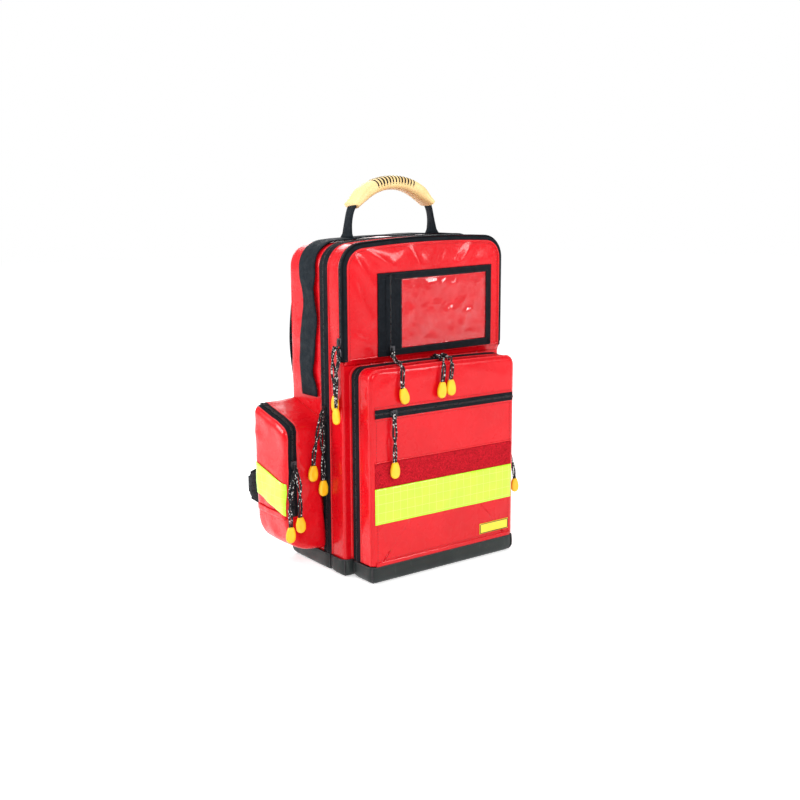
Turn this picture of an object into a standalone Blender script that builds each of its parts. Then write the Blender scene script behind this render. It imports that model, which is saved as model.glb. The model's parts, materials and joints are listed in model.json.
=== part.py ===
"""Trauma backpack: a tarpaulin rucksack with a clamshell main compartment, a second compartment
behind a window flap, a front pocket, two side pockets, a carry handle and a carrying harness.

Metres, +Z up. The pack stands on z = 0 with its front towards -Y and its harness towards +Y.
The origin is under the main boot, level with the sliders of the main zip.
"""

import math

import bmesh
import bpy
from mathutils import Matrix, Vector

GAP = 0.0003  # left between pieces that touch
WALL = 0.0022  # tarpaulin with its lining

# Pack casing, seen from the front
PACK_HALF_WIDTH = 0.141
PACK_TOP = 0.464
PACK_BOTTOM = 0.0106
PACK_TOP_RADIUS = 0.032
PACK_LOW_RADIUS = 0.012
TOP_SLOPE = 4.0  # degrees, where the crown of the top meets the corners

# Depths along Y, back to front
PANEL_BACK = 0.110
MAIN_BACK = 0.096
MAIN_ZIP_BACK = 0.009
MAIN_ZIP_FRONT = -0.0095
LID_BACK = -0.0098
MID_ZIP_BACK = -0.0366
LID_FRONT = -0.042
FLAP_BACK = -0.044
FLAP_FRONT = -0.0475
POCKET_ZIP_BACK = -0.0523
POCKET_ZIP_FRONT = -0.0600
POCKET_FRONT = -0.092

# Boots
BOOT_HEIGHT = 0.025
BOOT_FLOOR = 0.0103
BOOT_WALL = 0.0022
BOOT_CHAMFER = 0.004
BOOT_CORNER = 0.003
BOOT_HALF_WIDTH = 0.1435
FRONT_BOOT_HALF_WIDTH = 0.1305
LID_HINGE = (0.0, -0.007, 0.004)

# Window flap
FLAP_BOTTOM = 0.305
FLAP_HINGE = (0.0, FLAP_BACK, FLAP_BOTTOM)
WINDOW_X = (-0.086, 0.119)
WINDOW_Z = (0.3075, 0.423)
WINDOW_BINDING = 0.010
WINDOW_ZIP_BAR = 0.041
WINDOW_ZIP_X = -0.0655
WINDOW_ZIP_WIDTH = 0.011

# Front pocket
POCKET_HALF_WIDTH = 0.129
POCKET_TOP = 0.2955
POCKET_TOP_RADIUS = 0.014
POCKET_SLOPE = 1.5
POCKET_HINGE = (0.0, POCKET_FRONT, BOOT_HEIGHT)
TRIM_HALF_WIDTH = 0.1235
TRIM_THICKNESS = 0.001
FLAT_ZIP_Z = (0.231, 0.242)
LOOP_STRIP_Z = (0.1343, 0.169)
BAND_Z = (0.084, 0.134)
PLATE_X = (0.063, 0.119)
PLATE_Z = (0.036, 0.052)

# Side pockets: distances outwards from the middle of the pack, and heights
SIDE_INNER = 0.1413
SIDE_OUTER = 0.205
SIDE_SHOULDER = 0.197
SIDE_FRONT = 0.0055
SIDE_BACK = 0.093
SIDE_FRONT_TOP = 0.217
SIDE_BACK_TOP = 0.241
SIDE_LOW_INNER = 0.030
SIDE_LOW_OUTER = 0.042
SIDE_BELLY = 0.090
SIDE_ZIP_X = (0.1880, 0.1980)
SIDE_SPLIT_Z = 0.086
SIDE_HINGE_X = SIDE_OUTER
SIDE_BAND_HEIGHT = 0.045
SIDE_BAND_RISE = 0.019

# Carry strap and handle
STRAP_Y = 0.038
STRAP_WIDTH = 0.038
STRAP_THICKNESS = 0.002
STRAP_LOW = 0.248
HANDLE_HALF_SPAN = 0.076
HANDLE_BASE = 0.474
HANDLE_WIDTH = 0.026
HANDLE_THICKNESS = 0.0032
GRIP_WIDTH = 0.031
GRIP_LOW = 0.515  # the webbing above this height is inside the grip
GRIP_THICKNESS = 0.021
GRIP_SLOT = 0.0038
GRIP_CHAMFER = 0.006
GRIP_OVERHANG = Vector((0.006, 0.0, 0.0055))  # from the last webbing point inside to the grip's end

# Harness: padded straps, their lower webbing and the hip belt's wings
STRAP_PAD_WIDTHS = (0.060, 0.066, 0.046)
STRAP_PAD_THICKNESS = 0.014
STRAP_PAD_CHAMFER = 0.004
LOCK_X = (0.072, 0.105)
LOCK_Y = (0.1260, 0.1330)
LOCK_Z = (0.1640, 0.1900)
LOCK_BAR = 0.003
LOCK_SLOT_Z = (0.168, 0.173)
LOWER_WEBBING_WIDTH = 0.025
LOWER_WEBBING_THICKNESS = 0.002
WING_MIDDLE = 0.098
WING_HALF_THICKNESS = 0.006
WING_EDGE = 0.008
WING_STATIONS = (  # distance outwards, depth, height of the wing there
    (0.1120, 0.1180, 0.100),
    (0.1350, 0.1240, 0.088),
    (0.1600, 0.1380, 0.068),
    (0.1830, 0.1600, 0.046),
)

# Zip sliders and their pulls
SLIDER_LENGTH = 0.011
SLIDER_WIDTH = 0.008
SLIDER_THICKNESS = 0.0032
BRIDGE_WIDTH = 0.003
BRIDGE_HEIGHT = 0.0022
CORD_DIAMETER = 0.0028
CORD_SPREAD = 0.0036
TAG_LENGTH = 0.023
TAG_WIDTH = 0.013
TAG_PROFILE = ((0.52, 0.0), (0.83, 0.22), (1.0, 0.52), (0.89, 0.80), (0.49, 0.97))  # shares of the size
TAG_THICKNESS = 0.007
TAG_GRIP = 0.005  # how far the cord's ends reach into the tag

ARC_STEPS = 6

RED = ("red_tarpaulin", (0.72, 0.012, 0.016), 0.25, 0.0)
DARK_RED = ("red_loop_tape", (0.42, 0.010, 0.016), 0.95, 0.0)
BLACK_TAPE = ("black_zip_tape", (0.012, 0.013, 0.016), 0.80, 0.0)
BLACK_WEBBING = ("black_webbing", (0.010, 0.012, 0.015), 0.85, 0.0)
BLACK_MESH = ("black_mesh_padding", (0.014, 0.014, 0.016), 0.95, 0.0)
BOOT_GREY = ("rubberised_boot", (0.035, 0.042, 0.044), 0.45, 0.0)
CLEAR = ("clear_film", (0.90, 0.45, 0.45), 0.08, 0.0)
LIME = ("lime_reflective", (0.62, 0.95, 0.02), 0.40, 0.0)
YELLOW = ("yellow_plate", (0.93, 0.75, 0.04), 0.45, 0.0)
GRIP = ("tan_leather_grip", (0.87, 0.55, 0.22), 0.55, 0.0)
METAL = ("blackened_metal", (0.04, 0.04, 0.045), 0.35, 0.9)
PLASTIC = ("black_plastic", (0.015, 0.015, 0.017), 0.45, 0.0)
PULL = ("yellow_pull_tag", (0.96, 0.55, 0.02), 0.40, 0.0)


# ---------------------------------------------------------------- helpers


def clear_scene():
    for obj in list(bpy.data.objects):
        bpy.data.objects.remove(obj, do_unlink=True)


def link(name, mesh):
    obj = bpy.data.objects.new(name, mesh)
    bpy.context.scene.collection.objects.link(obj)
    return obj


def finish(obj, look, pivot=None):
    """Gives a piece its material and, where it moves, its parent empty."""
    name, colour, roughness, metallic = look
    material = bpy.data.materials.get(name) or bpy.data.materials.new(name)
    material.use_nodes = True
    shader = material.node_tree.nodes["Principled BSDF"]
    shader.inputs["Base Color"].default_value = (*colour, 1.0)
    shader.inputs["Roughness"].default_value = roughness
    shader.inputs["Metallic"].default_value = metallic
    obj.data.materials.clear()
    obj.data.materials.append(material)
    if pivot:
        obj.parent = pivot
        obj.matrix_parent_inverse = pivot.matrix_world.inverted()
    return obj


def make_pivot(name, place, parent=None):
    empty = bpy.data.objects.new(name, None)
    empty.empty_display_size = 0.02
    bpy.context.scene.collection.objects.link(empty)
    empty.location = place
    bpy.context.view_layer.update()
    if parent:
        empty.parent = parent
        empty.matrix_parent_inverse = parent.matrix_world.inverted()
        bpy.context.view_layer.update()
    return empty


def helper(obj):
    obj.hide_render = True
    obj.display_type = "WIRE"
    return obj


def loft(name, rings):
    """A closed solid through rings of equal length, capped at both ends."""
    shape = bmesh.new()
    placed = [[shape.verts.new(point) for point in ring] for ring in rings]
    count = len(rings[0])
    for low, high in zip(placed, placed[1:]):
        for n in range(count):
            after = (n + 1) % count
            shape.faces.new((low[n], low[after], high[after], high[n]))
    shape.faces.new(placed[0])
    shape.faces.new(placed[-1])
    bmesh.ops.recalc_face_normals(shape, faces=shape.faces)
    mesh = bpy.data.meshes.new(name)
    shape.to_mesh(mesh)
    shape.free()
    return link(name, mesh)


def box(name, x, y, z):
    corners = [(x[0], y[0]), (x[1], y[0]), (x[1], y[1]), (x[0], y[1])]
    return loft(name, [[(a, b, height) for a, b in corners] for height in z])


def boolean(obj, other, operation):
    modifier = obj.modifiers.new(operation.lower(), "BOOLEAN")
    modifier.operation = operation
    modifier.solver = "EXACT"
    modifier.object = helper(other)
    return obj


def arc(centre, radius, start, end, steps=ARC_STEPS):
    turn = [math.radians(start + (end - start) * n / steps) for n in range(steps + 1)]
    return [
        (centre[0] + radius * math.cos(a), centre[1] + radius * math.sin(a)) for a in turn
    ]


def casing_outline(half_width, bottom, top, low_radius, top_radius, slope):
    """The front view of a casing as (x, z) points, counter-clockwise, with a crowned top."""
    low_x, low_z = half_width - low_radius, bottom + low_radius
    high_x = half_width - top_radius
    high_z = top - top_radius * math.cos(math.radians(slope))
    right = arc((high_x, high_z), top_radius, 0, 90 - slope)
    crown_radius = right[-1][0] / math.sin(math.radians(slope))
    crown_centre = (0.0, top - crown_radius * math.cos(math.radians(slope)))
    return [
        *arc((-low_x, low_z), low_radius, 180, 270, 2),
        *arc((low_x, low_z), low_radius, 270, 360, 2),
        *right,
        *arc(crown_centre, crown_radius, 90 - slope, 90 + slope)[1:-1],
        *arc((-high_x, high_z), top_radius, 90 + slope, 180),
    ]


def inset(points, distance):
    """A convex, counter-clockwise outline moved inwards by distance."""
    before = points[-1:] + points[:-1]
    after = points[1:] + points[:1]
    moved = []
    for last, here, following in zip(before, points, after):
        into = (Vector(here) - Vector(last)).normalized()
        out = (Vector(following) - Vector(here)).normalized()
        first, second = Vector((-into.y, into.x)), Vector((-out.y, out.x))
        shift = (first + second) * (distance / (1.0 + first.dot(second)))
        moved.append((here[0] + shift.x, here[1] + shift.y))
    return moved


def upright(points, y):
    return [(x, y, z) for x, z in points]


def casing(name, points, front, back, front_round=0.0, back_round=0.0):
    """An outline run from front to back, with its front and back edges rounded."""
    rings = []
    for angle in (90, 60, 30) if front_round else ():
        turn = math.radians(angle)
        depth = front + front_round * (1 - math.sin(turn))
        rings.append(upright(inset(points, front_round * (1 - math.cos(turn))), depth))
    rings.append(upright(points, front + front_round))
    rings.append(upright(points, back - back_round))
    for angle in (30, 60, 90) if back_round else ():
        turn = math.radians(angle)
        depth = back - back_round * (1 - math.sin(turn))
        rings.append(upright(inset(points, back_round * (1 - math.cos(turn))), depth))
    return loft(name, rings)


def zip_strip(name, points, front, back, low):
    """The U of zip tape that closes two casings: up one side, over the top and down the other."""
    strip = casing(name, points, front, back)
    inner = casing(name + "_inner", inset(points, WALL), front - 0.01, back + 0.01)
    boolean(strip, inner, "DIFFERENCE")
    reach = (-0.5, 0.5)
    return boolean(strip, box(name + "_cut", reach, reach, (-0.5, low)), "DIFFERENCE")


def smooth(points, steps):
    """Points on a Catmull-Rom curve through the given ones."""
    ends = [
        Vector(points[0]) * 2 - Vector(points[1]),
        *[Vector(p) for p in points],
        Vector(points[-1]) * 2 - Vector(points[-2]),
    ]
    curve = []
    for a, b, c, d in zip(ends, ends[1:], ends[2:], ends[3:]):
        for n in range(steps):
            t = n / steps
            curve.append(
                0.5
                * (
                    2 * b
                    + (c - a) * t
                    + (2 * a - 5 * b + 4 * c - d) * t * t
                    + (3 * b - a - 3 * c + d) * t**3
                )
            )
    return curve + [ends[-2]]


def sweep(name, route, side, widths, thickness, chamfer=0.0):
    """A strap or pad along route. side gives the direction of its width."""
    rings = []
    for n, here in enumerate(route):
        before, after = route[max(n - 1, 0)], route[min(n + 1, len(route) - 1)]
        along = (after - before).normalized()
        across = (side - along * side.dot(along)).normalized()
        out = along.cross(across)
        w, t = widths[n] / 2, thickness / 2
        corners = [(-w, -t), (w, -t), (w, t), (-w, t)]
        if chamfer:
            c = chamfer
            corners = [
                (c - w, -t), (w - c, -t), (w, c - t), (w, t - c),
                (w - c, t), (c - w, t), (-w, t - c), (-w, c - t),
            ]
        rings.append([here + across * a + out * b for a, b in corners])
    return loft(name, rings)


def fade(start, middle, end, count):
    """Widths that run from start through middle to end."""
    return [
        start + (middle - start) * 2 * n / (count - 1)
        if 2 * n < count - 1
        else middle + (end - middle) * (2 * n / (count - 1) - 1)
        for n in range(count)
    ]


PACK_OUTLINE = casing_outline(
    PACK_HALF_WIDTH, PACK_BOTTOM, PACK_TOP, PACK_LOW_RADIUS, PACK_TOP_RADIUS, TOP_SLOPE
)
POCKET_OUTLINE = casing_outline(
    POCKET_HALF_WIDTH, PACK_BOTTOM, POCKET_TOP, 0.004, POCKET_TOP_RADIUS, POCKET_SLOPE
)


# ---------------------------------------------------------------- casings


def make_boot(name, half_width, front, back, look, pivot=None):
    """A moulded tray with a thick floor and chamfered lower edges."""

    def ring(distance, height):
        radius = BOOT_CORNER if distance != BOOT_WALL else BOOT_CORNER - BOOT_WALL
        x = half_width - distance - radius
        y = (front + distance + radius, back - distance - radius)
        points = [
            *arc((-x, y[0]), radius, 180, 270, 2),
            *arc((x, y[0]), radius, 270, 360, 2),
            *arc((x, y[1]), radius, 0, 90, 2),
            *arc((-x, y[1]), radius, 90, 180, 2),
        ]
        return [(a, b, height) for a, b in points]

    rings = [
        ring(BOOT_CHAMFER, 0.0),
        ring(0.0, BOOT_CHAMFER),
        ring(0.0, BOOT_HEIGHT),
        ring(BOOT_WALL, BOOT_HEIGHT),
        ring(BOOT_WALL, BOOT_FLOOR),
    ]
    return finish(loft(name, rings), look, pivot)


def make_main_compartment():
    shell = casing("main_shell", PACK_OUTLINE, MAIN_ZIP_BACK + GAP, MAIN_BACK, 0.0, 0.012)
    hollow = casing(
        "main_hollow", inset(PACK_OUTLINE, WALL), MAIN_ZIP_FRONT, MAIN_BACK - WALL, 0.0, 0.010
    )
    finish(boolean(shell, hollow, "DIFFERENCE"), RED)
    tape = zip_strip(
        "main_zip", PACK_OUTLINE, MAIN_ZIP_FRONT, MAIN_ZIP_BACK, BOOT_HEIGHT + GAP
    )
    finish(tape, BLACK_TAPE)
    make_boot("main_boot", BOOT_HALF_WIDTH, LID_HINGE[1] + GAP, MAIN_BACK + 0.0025, BOOT_GREY)
    foam_outline = casing_outline(0.125, 0.040, 0.448, 0.020, 0.030, 2.0)
    foam = casing("back_panel", foam_outline, MAIN_BACK + GAP, PANEL_BACK, 0.0, 0.006)
    finish(foam, BLACK_MESH)


def make_lid(pivot):
    shell = casing("mid_shell", PACK_OUTLINE, LID_FRONT, LID_BACK, 0.003, 0.0)
    hollow = casing(
        "mid_hollow", inset(PACK_OUTLINE, WALL), LID_FRONT + WALL, LID_BACK - WALL
    )
    boolean(shell, hollow, "DIFFERENCE")
    mouth = box("mid_mouth", (-0.5, 0.5), (-0.5, MID_ZIP_BACK + GAP), (FLAP_BOTTOM - GAP, 0.6))
    finish(boolean(shell, mouth, "DIFFERENCE"), RED, pivot)
    tape = zip_strip("mid_zip", PACK_OUTLINE, FLAP_BACK + GAP, MID_ZIP_BACK, FLAP_BOTTOM)
    finish(tape, BLACK_TAPE, pivot)
    boot_front = LID_FRONT - BOOT_WALL - GAP
    make_boot("mid_boot", BOOT_HALF_WIDTH, boot_front, LID_HINGE[1] - GAP, BOOT_GREY, pivot)
    make_boot(
        "front_boot",
        FRONT_BOOT_HALF_WIDTH,
        POCKET_FRONT - 0.001,
        boot_front - GAP,
        BOOT_GREY,
        pivot,
    )
    low = BOOT_HEIGHT + GAP
    gusset = zip_strip(
        "front_pocket_gusset", POCKET_OUTLINE, POCKET_ZIP_BACK + GAP, LID_FRONT - GAP, low
    )
    finish(gusset, RED, pivot)
    tape = zip_strip("front_pocket_zip", POCKET_OUTLINE, POCKET_ZIP_FRONT, POCKET_ZIP_BACK, low)
    finish(tape, BLACK_TAPE, pivot)


def make_window_flap(pivot):
    flap = casing("window_flap", PACK_OUTLINE, FLAP_FRONT, FLAP_BACK, 0.0015, 0.0)
    boolean(flap, box("flap_cut", (-0.5, 0.5), (-0.5, 0.5), (-0.5, FLAP_BOTTOM)), "DIFFERENCE")
    finish(flap, RED, pivot)
    frame_y = (FLAP_FRONT - GAP - 0.0018, FLAP_FRONT - GAP)
    frame = box("window_frame", WINDOW_X, frame_y, WINDOW_Z)
    hole_x = (WINDOW_X[0] + WINDOW_ZIP_BAR, WINDOW_X[1] - WINDOW_BINDING)
    hole_z = (WINDOW_Z[0] + WINDOW_BINDING, WINDOW_Z[1] - WINDOW_BINDING)
    boolean(frame, box("window_hole", hole_x, (-0.1, 0.0), hole_z), "DIFFERENCE")
    finish(frame, BLACK_TAPE, pivot)
    film = box(
        "window_film",
        (hole_x[0] + GAP, hole_x[1] - GAP),
        (frame_y[0] + 0.0005, frame_y[1]),
        (hole_z[0] + GAP, hole_z[1] - GAP),
    )
    finish(film, CLEAR, pivot)
    half = WINDOW_ZIP_WIDTH / 2
    tape = box(
        "window_zip",
        (WINDOW_ZIP_X - half, WINDOW_ZIP_X + half),
        (frame_y[0] - GAP - TRIM_THICKNESS, frame_y[0] - GAP),
        (WINDOW_Z[0] + 0.002, WINDOW_Z[1] - 0.002),
    )
    finish(tape, BLACK_TAPE, pivot)


def make_front_pocket_lid(pivot):
    back = POCKET_ZIP_FRONT - GAP
    cover = casing("front_pocket_cover", POCKET_OUTLINE, POCKET_FRONT, back, 0.004)
    hollow = casing("cover_hollow", inset(POCKET_OUTLINE, WALL), POCKET_FRONT + WALL, 0.0)
    boolean(cover, hollow, "DIFFERENCE")
    reach = (-0.5, 0.5)
    low = box("cover_cut", reach, reach, (-0.5, BOOT_HEIGHT + GAP))
    finish(boolean(cover, low, "DIFFERENCE"), RED, pivot)
    trim_back = POCKET_FRONT - GAP
    for name, x, z, thickness, look in (
        ("flat_pocket_zip", TRIM_HALF_WIDTH, FLAT_ZIP_Z, 0.0014, BLACK_TAPE),
        ("loop_strip", TRIM_HALF_WIDTH, LOOP_STRIP_Z, TRIM_THICKNESS, DARK_RED),
        ("reflective_band", TRIM_HALF_WIDTH, BAND_Z, TRIM_THICKNESS, LIME),
    ):
        finish(box(name, (-x, x), (trim_back - thickness, trim_back), z), look, pivot)
    plate_y = (trim_back - TRIM_THICKNESS, trim_back)
    finish(box("name_plate", PLATE_X, plate_y, PLATE_Z), YELLOW, pivot)


# ---------------------------------------------------------------- side pockets


def side_outline(top):
    return [
        (SIDE_INNER, SIDE_LOW_INNER),
        (SIDE_SHOULDER, SIDE_LOW_OUTER),
        (SIDE_OUTER, SIDE_BELLY),
        (SIDE_OUTER, top - 0.010),
        (SIDE_SHOULDER, top),
        (SIDE_INNER, top),
    ]


def side_body(name, side, distance):
    """The whole pocket, or with a distance the space inside its walls."""
    front, back = inset(side_outline(SIDE_FRONT_TOP), distance), inset(
        side_outline(SIDE_BACK_TOP), distance
    )
    ends = [(front, SIDE_FRONT + distance), (back, SIDE_BACK - distance)]
    rings = [(inset(front, 0.003), ends[0][1])] if not distance else []
    rings += [(front, ends[0][1] + (0.0 if distance else 0.003))]
    rings += [(back, ends[1][1] - (0.0 if distance else 0.003))]
    rings += [(inset(back, 0.003), ends[1][1])] if not distance else []
    return loft(name, [[(side * x, y, z) for x, z in points] for points, y in rings])


def side_slice(name, side, x, z, look, pivot=None):
    """The part of a side pocket's wall between two distances outwards and two heights."""
    piece = side_body(name, side, 0.0)
    boolean(piece, side_body(name + "_hollow", side, WALL), "DIFFERENCE")
    span = sorted(side * value for value in x)
    boolean(piece, box(name + "_keep", span, (-0.1, 0.3), z), "INTERSECT")
    return finish(piece, look, pivot)


def make_side_pocket(label, side, pivot):
    low, high = SIDE_ZIP_X
    tub = side_body("side_pocket_" + label, side, 0.0)
    boolean(tub, side_body("side_hollow_" + label, side, WALL), "DIFFERENCE")
    span = sorted((side * (low - GAP), side * 0.4))
    mouth = box("side_mouth_" + label, span, (-0.1, 0.3), (SIDE_SPLIT_Z, 0.4))
    finish(boolean(tub, mouth, "DIFFERENCE"), RED)
    above = (SIDE_SPLIT_Z + GAP, 0.4)
    side_slice("side_zip_" + label, side, (low, high), above, BLACK_TAPE)
    side_slice("side_cover_" + label, side, (high + GAP, 0.4), above, RED, pivot)
    low_z = SIDE_SPLIT_Z + 0.002
    rise, height = SIDE_BAND_RISE, SIDE_BAND_HEIGHT
    front, back = SIDE_FRONT + 0.0045, SIDE_BACK - 0.0045
    corners = [
        (front, low_z), (back, low_z + rise), (back, low_z + rise + height), (front, low_z + height),
    ]
    depth = (side * (SIDE_OUTER + GAP), side * (SIDE_OUTER + GAP + TRIM_THICKNESS))
    band = loft("side_band_" + label, [[(x, y, z) for y, z in corners] for x in depth])
    finish(band, LIME, pivot)


# ---------------------------------------------------------------- carrying


def make_carry_strap():
    front, back = STRAP_Y - STRAP_WIDTH / 2, STRAP_Y + STRAP_WIDTH / 2
    strap = casing("carry_strap", inset(PACK_OUTLINE, -GAP - STRAP_THICKNESS), front, back)
    inner = casing("strap_inner", inset(PACK_OUTLINE, -GAP), front - 0.01, back + 0.01)
    boolean(strap, inner, "DIFFERENCE")
    reach = (-0.5, 0.5)
    boolean(strap, box("strap_cut", reach, reach, (-0.5, STRAP_LOW)), "DIFFERENCE")
    finish(strap, BLACK_WEBBING)


def handle_route():
    """The middle of the handle's webbing, from one foot over the grip to the other."""
    half = [(-HANDLE_HALF_SPAN, 0.4755), (-0.0745, 0.491), (-0.0705, 0.507), (-0.0625, 0.5205)]
    crest = [(-0.047, 0.5335), (-0.024, 0.5430), (0.0, 0.5460)]
    left = half + crest
    points = left + [(-x, z) for x, z in reversed(left[:-1])]
    return [Vector((x, STRAP_Y, z)) for x, z in points]


def make_handle(pivot):
    side = Vector((0.0, 1.0, 0.0))
    route = handle_route()
    widths = [HANDLE_WIDTH] * len(route)
    webbing = sweep("handle_webbing", route, side, widths, HANDLE_THICKNESS)
    finish(webbing, BLACK_WEBBING, pivot)
    core = [p for p in route if p.z > GRIP_LOW]
    mirrored = Vector((-GRIP_OVERHANG.x, 0.0, GRIP_OVERHANG.z))
    body = [core[0] - GRIP_OVERHANG, *core, core[-1] - mirrored]
    fat = [GRIP_WIDTH] * len(body)
    grip = sweep("handle_grip", body, side, fat, GRIP_THICKNESS, GRIP_CHAMFER)
    slot = sweep("grip_slot", route, side, [HANDLE_WIDTH + 2 * GAP] * len(route), GRIP_SLOT)
    finish(boolean(grip, slot, "DIFFERENCE"), GRIP, pivot)


def make_shoulder_strap(label, side):
    """A padded strap, its lower webbing and the ladder lock that joins them."""
    across = Vector((1.0, 0.0, 0.0))
    path = [
        (0.050, 0.1190, 0.438),
        (0.053, 0.1400, 0.432),
        (0.058, 0.1600, 0.395),
        (0.064, 0.1640, 0.345),
        (0.072, 0.1560, 0.290),
        (0.080, 0.1440, 0.240),
        (0.086, 0.1340, 0.200),
    ]
    route = smooth([(side * x, y, z) for x, y, z in path], 3)
    widths = fade(*STRAP_PAD_WIDTHS, len(route))
    pad = sweep(
        "shoulder_strap_" + label, route, across, widths, STRAP_PAD_THICKNESS, STRAP_PAD_CHAMFER
    )
    finish(pad, BLACK_MESH)
    inner, outer = LOCK_X
    lock = box("ladder_lock_" + label, sorted((side * inner, side * outer)), LOCK_Y, LOCK_Z)
    opening = sorted((side * (inner + LOCK_BAR), side * (outer - LOCK_BAR)))
    through = (LOCK_Y[0] - LOCK_BAR, LOCK_Y[1] + LOCK_BAR)
    slot = box("lock_slot_" + label, opening, through, LOCK_SLOT_Z)
    finish(boolean(lock, slot, "DIFFERENCE"), PLASTIC)
    low = [
        (0.0885, 0.1290, 0.1630),
        (0.0900, 0.1240, 0.1350),
        (0.0910, 0.1180, 0.1000),
        (0.0910, 0.1125, 0.0620),
        (0.0905, 0.1115, 0.0420),
    ]
    lower = smooth([(side * x, y, z) for x, y, z in low], 2)
    widths = [LOWER_WEBBING_WIDTH] * len(lower)
    webbing = sweep("lower_webbing_" + label, lower, across, widths, LOWER_WEBBING_THICKNESS)
    finish(webbing, BLACK_WEBBING)


def make_hip_wing(label, side, pivot):
    """A padded wing of the hip belt, tapering from its root to its tip."""
    rings = []
    for x, y, height in WING_STATIONS:
        low, high = WING_MIDDLE - height / 2, WING_MIDDLE + height / 2
        depth = WING_HALF_THICKNESS
        ring = [
            (-depth, low + WING_EDGE),
            (0.0, low),
            (depth, low + WING_EDGE),
            (depth, high - WING_EDGE),
            (0.0, high),
            (-depth, high - WING_EDGE),
        ]
        rings.append([(side * x, y + off, z) for off, z in ring])
    finish(loft("hip_wing_" + label, rings), BLACK_MESH, pivot)


# ---------------------------------------------------------------- zip sliders and pulls


def make_slider(name, place, normal, run, pivot):
    """A slider: its flat body and the bridge that holds the pull's cord."""
    out, along = Vector(normal), Vector(run)
    across = along.cross(out)
    frame = Matrix((across, along, out)).transposed().to_4x4()
    frame.translation = Vector(place)
    half, nose = SLIDER_LENGTH / 2, SLIDER_WIDTH * 0.32
    wide = SLIDER_WIDTH / 2
    outline = [(-wide, half), (-wide, 0.0), (-nose, -half), (nose, -half), (wide, 0.0), (wide, half)]
    thick = SLIDER_THICKNESS / 2
    rings = [[(x, y, z) for x, y in outline] for z in (-thick, thick)]
    slider = loft(name, rings)
    bridge = BRIDGE_WIDTH / 2
    top = box(
        name + "_bridge",
        (-bridge, bridge),
        (-0.6 * half, 0.6 * half),
        (thick - 0.001, thick + BRIDGE_HEIGHT),
    )
    eye = box(
        name + "_eye",
        (-wide, wide),
        (-0.3 * half, 0.3 * half),
        (thick, thick + 0.6 * BRIDGE_HEIGHT),
    )
    for piece in (slider, top, eye):
        piece.data.transform(frame)
    boolean(slider, top, "UNION")
    boolean(slider, eye, "DIFFERENCE")
    return finish(slider, METAL, pivot)


def make_tag(name, top, direction, face):
    """The moulded tag: a flat drop, narrow where the cord goes in."""
    down = Vector(direction).normalized()
    out = Vector(face)
    out = (out - down * out.dot(down)).normalized()
    across = out.cross(down)
    half = TAG_WIDTH / 2
    outline = [(-half * w, TAG_LENGTH * t) for w, t in TAG_PROFILE]
    outline += [(half * w, TAG_LENGTH * t) for w, t in reversed(TAG_PROFILE)]
    rings = []
    for depth, scale in ((-0.5, 0.72), (-0.22, 1.0), (0.22, 1.0), (0.5, 0.72)):
        middle = TAG_LENGTH / 2
        ring = []
        for w, t in outline:
            along = middle + (t - middle) * (0.5 + 0.5 * scale)
            point = Vector(top) + across * w * scale + down * along
            ring.append(point + out * depth * TAG_THICKNESS)
        rings.append(ring)
    return loft(name, rings)


def make_pull(name, route, tag_way, face, pivot):
    """A loop of cord, from the slider's bridge down both strands into the tag."""
    spine = smooth(route, 3)
    last = spine[-1] + Vector(tag_way).normalized() * TAG_GRIP
    spine = [*spine, last]
    level = Vector(face).cross(Vector(DOWN))
    strands = []
    for n, here in enumerate(spine):
        before, after = spine[max(n - 1, 0)], spine[min(n + 1, len(spine) - 1)]
        along = (after - before).normalized()
        across = (level - along * level.dot(along)).normalized()
        share = n / (len(spine) - 1)
        spread = 0.0018 + (CORD_SPREAD - 0.0018) * math.sin(math.pi * share)
        strands.append((here + across * spread, here - across * spread))
    crest = spine[0] - (spine[1] - spine[0]).normalized() * 0.0012
    loop = [left for left, _ in reversed(strands)] + [crest] + [right for _, right in strands]
    curve = bpy.data.curves.new(name + "_cord", "CURVE")
    curve.dimensions = "3D"
    curve.bevel_depth = CORD_DIAMETER / 2
    curve.bevel_resolution = 2
    curve.use_fill_caps = True
    spline = curve.splines.new("POLY")
    spline.points.add(len(loop) - 1)
    for point, place in zip(spline.points, loop):
        point.co = (*place, 1.0)
    guide = helper(link(name + "_cord", curve))
    bpy.context.view_layer.update()
    graph = bpy.context.evaluated_depsgraph_get()
    mesh = bpy.data.meshes.new_from_object(guide.evaluated_get(graph))
    shape = bmesh.new()
    shape.from_mesh(mesh)
    bmesh.ops.remove_doubles(shape, verts=shape.verts, dist=0.00001)
    bmesh.ops.recalc_face_normals(shape, faces=shape.faces)
    shape.to_mesh(mesh)
    shape.free()
    pull = link(name, mesh)
    boolean(pull, make_tag(name + "_tag", spine[-2], tag_way, face), "UNION")
    return finish(pull, PULL, pivot)


FORWARD, LEFT, UP, DOWN, RIGHT = (0, -1, 0), (-1, 0, 0), (0, 0, 1), (0, 0, -1), (1, 0, 0)

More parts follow.
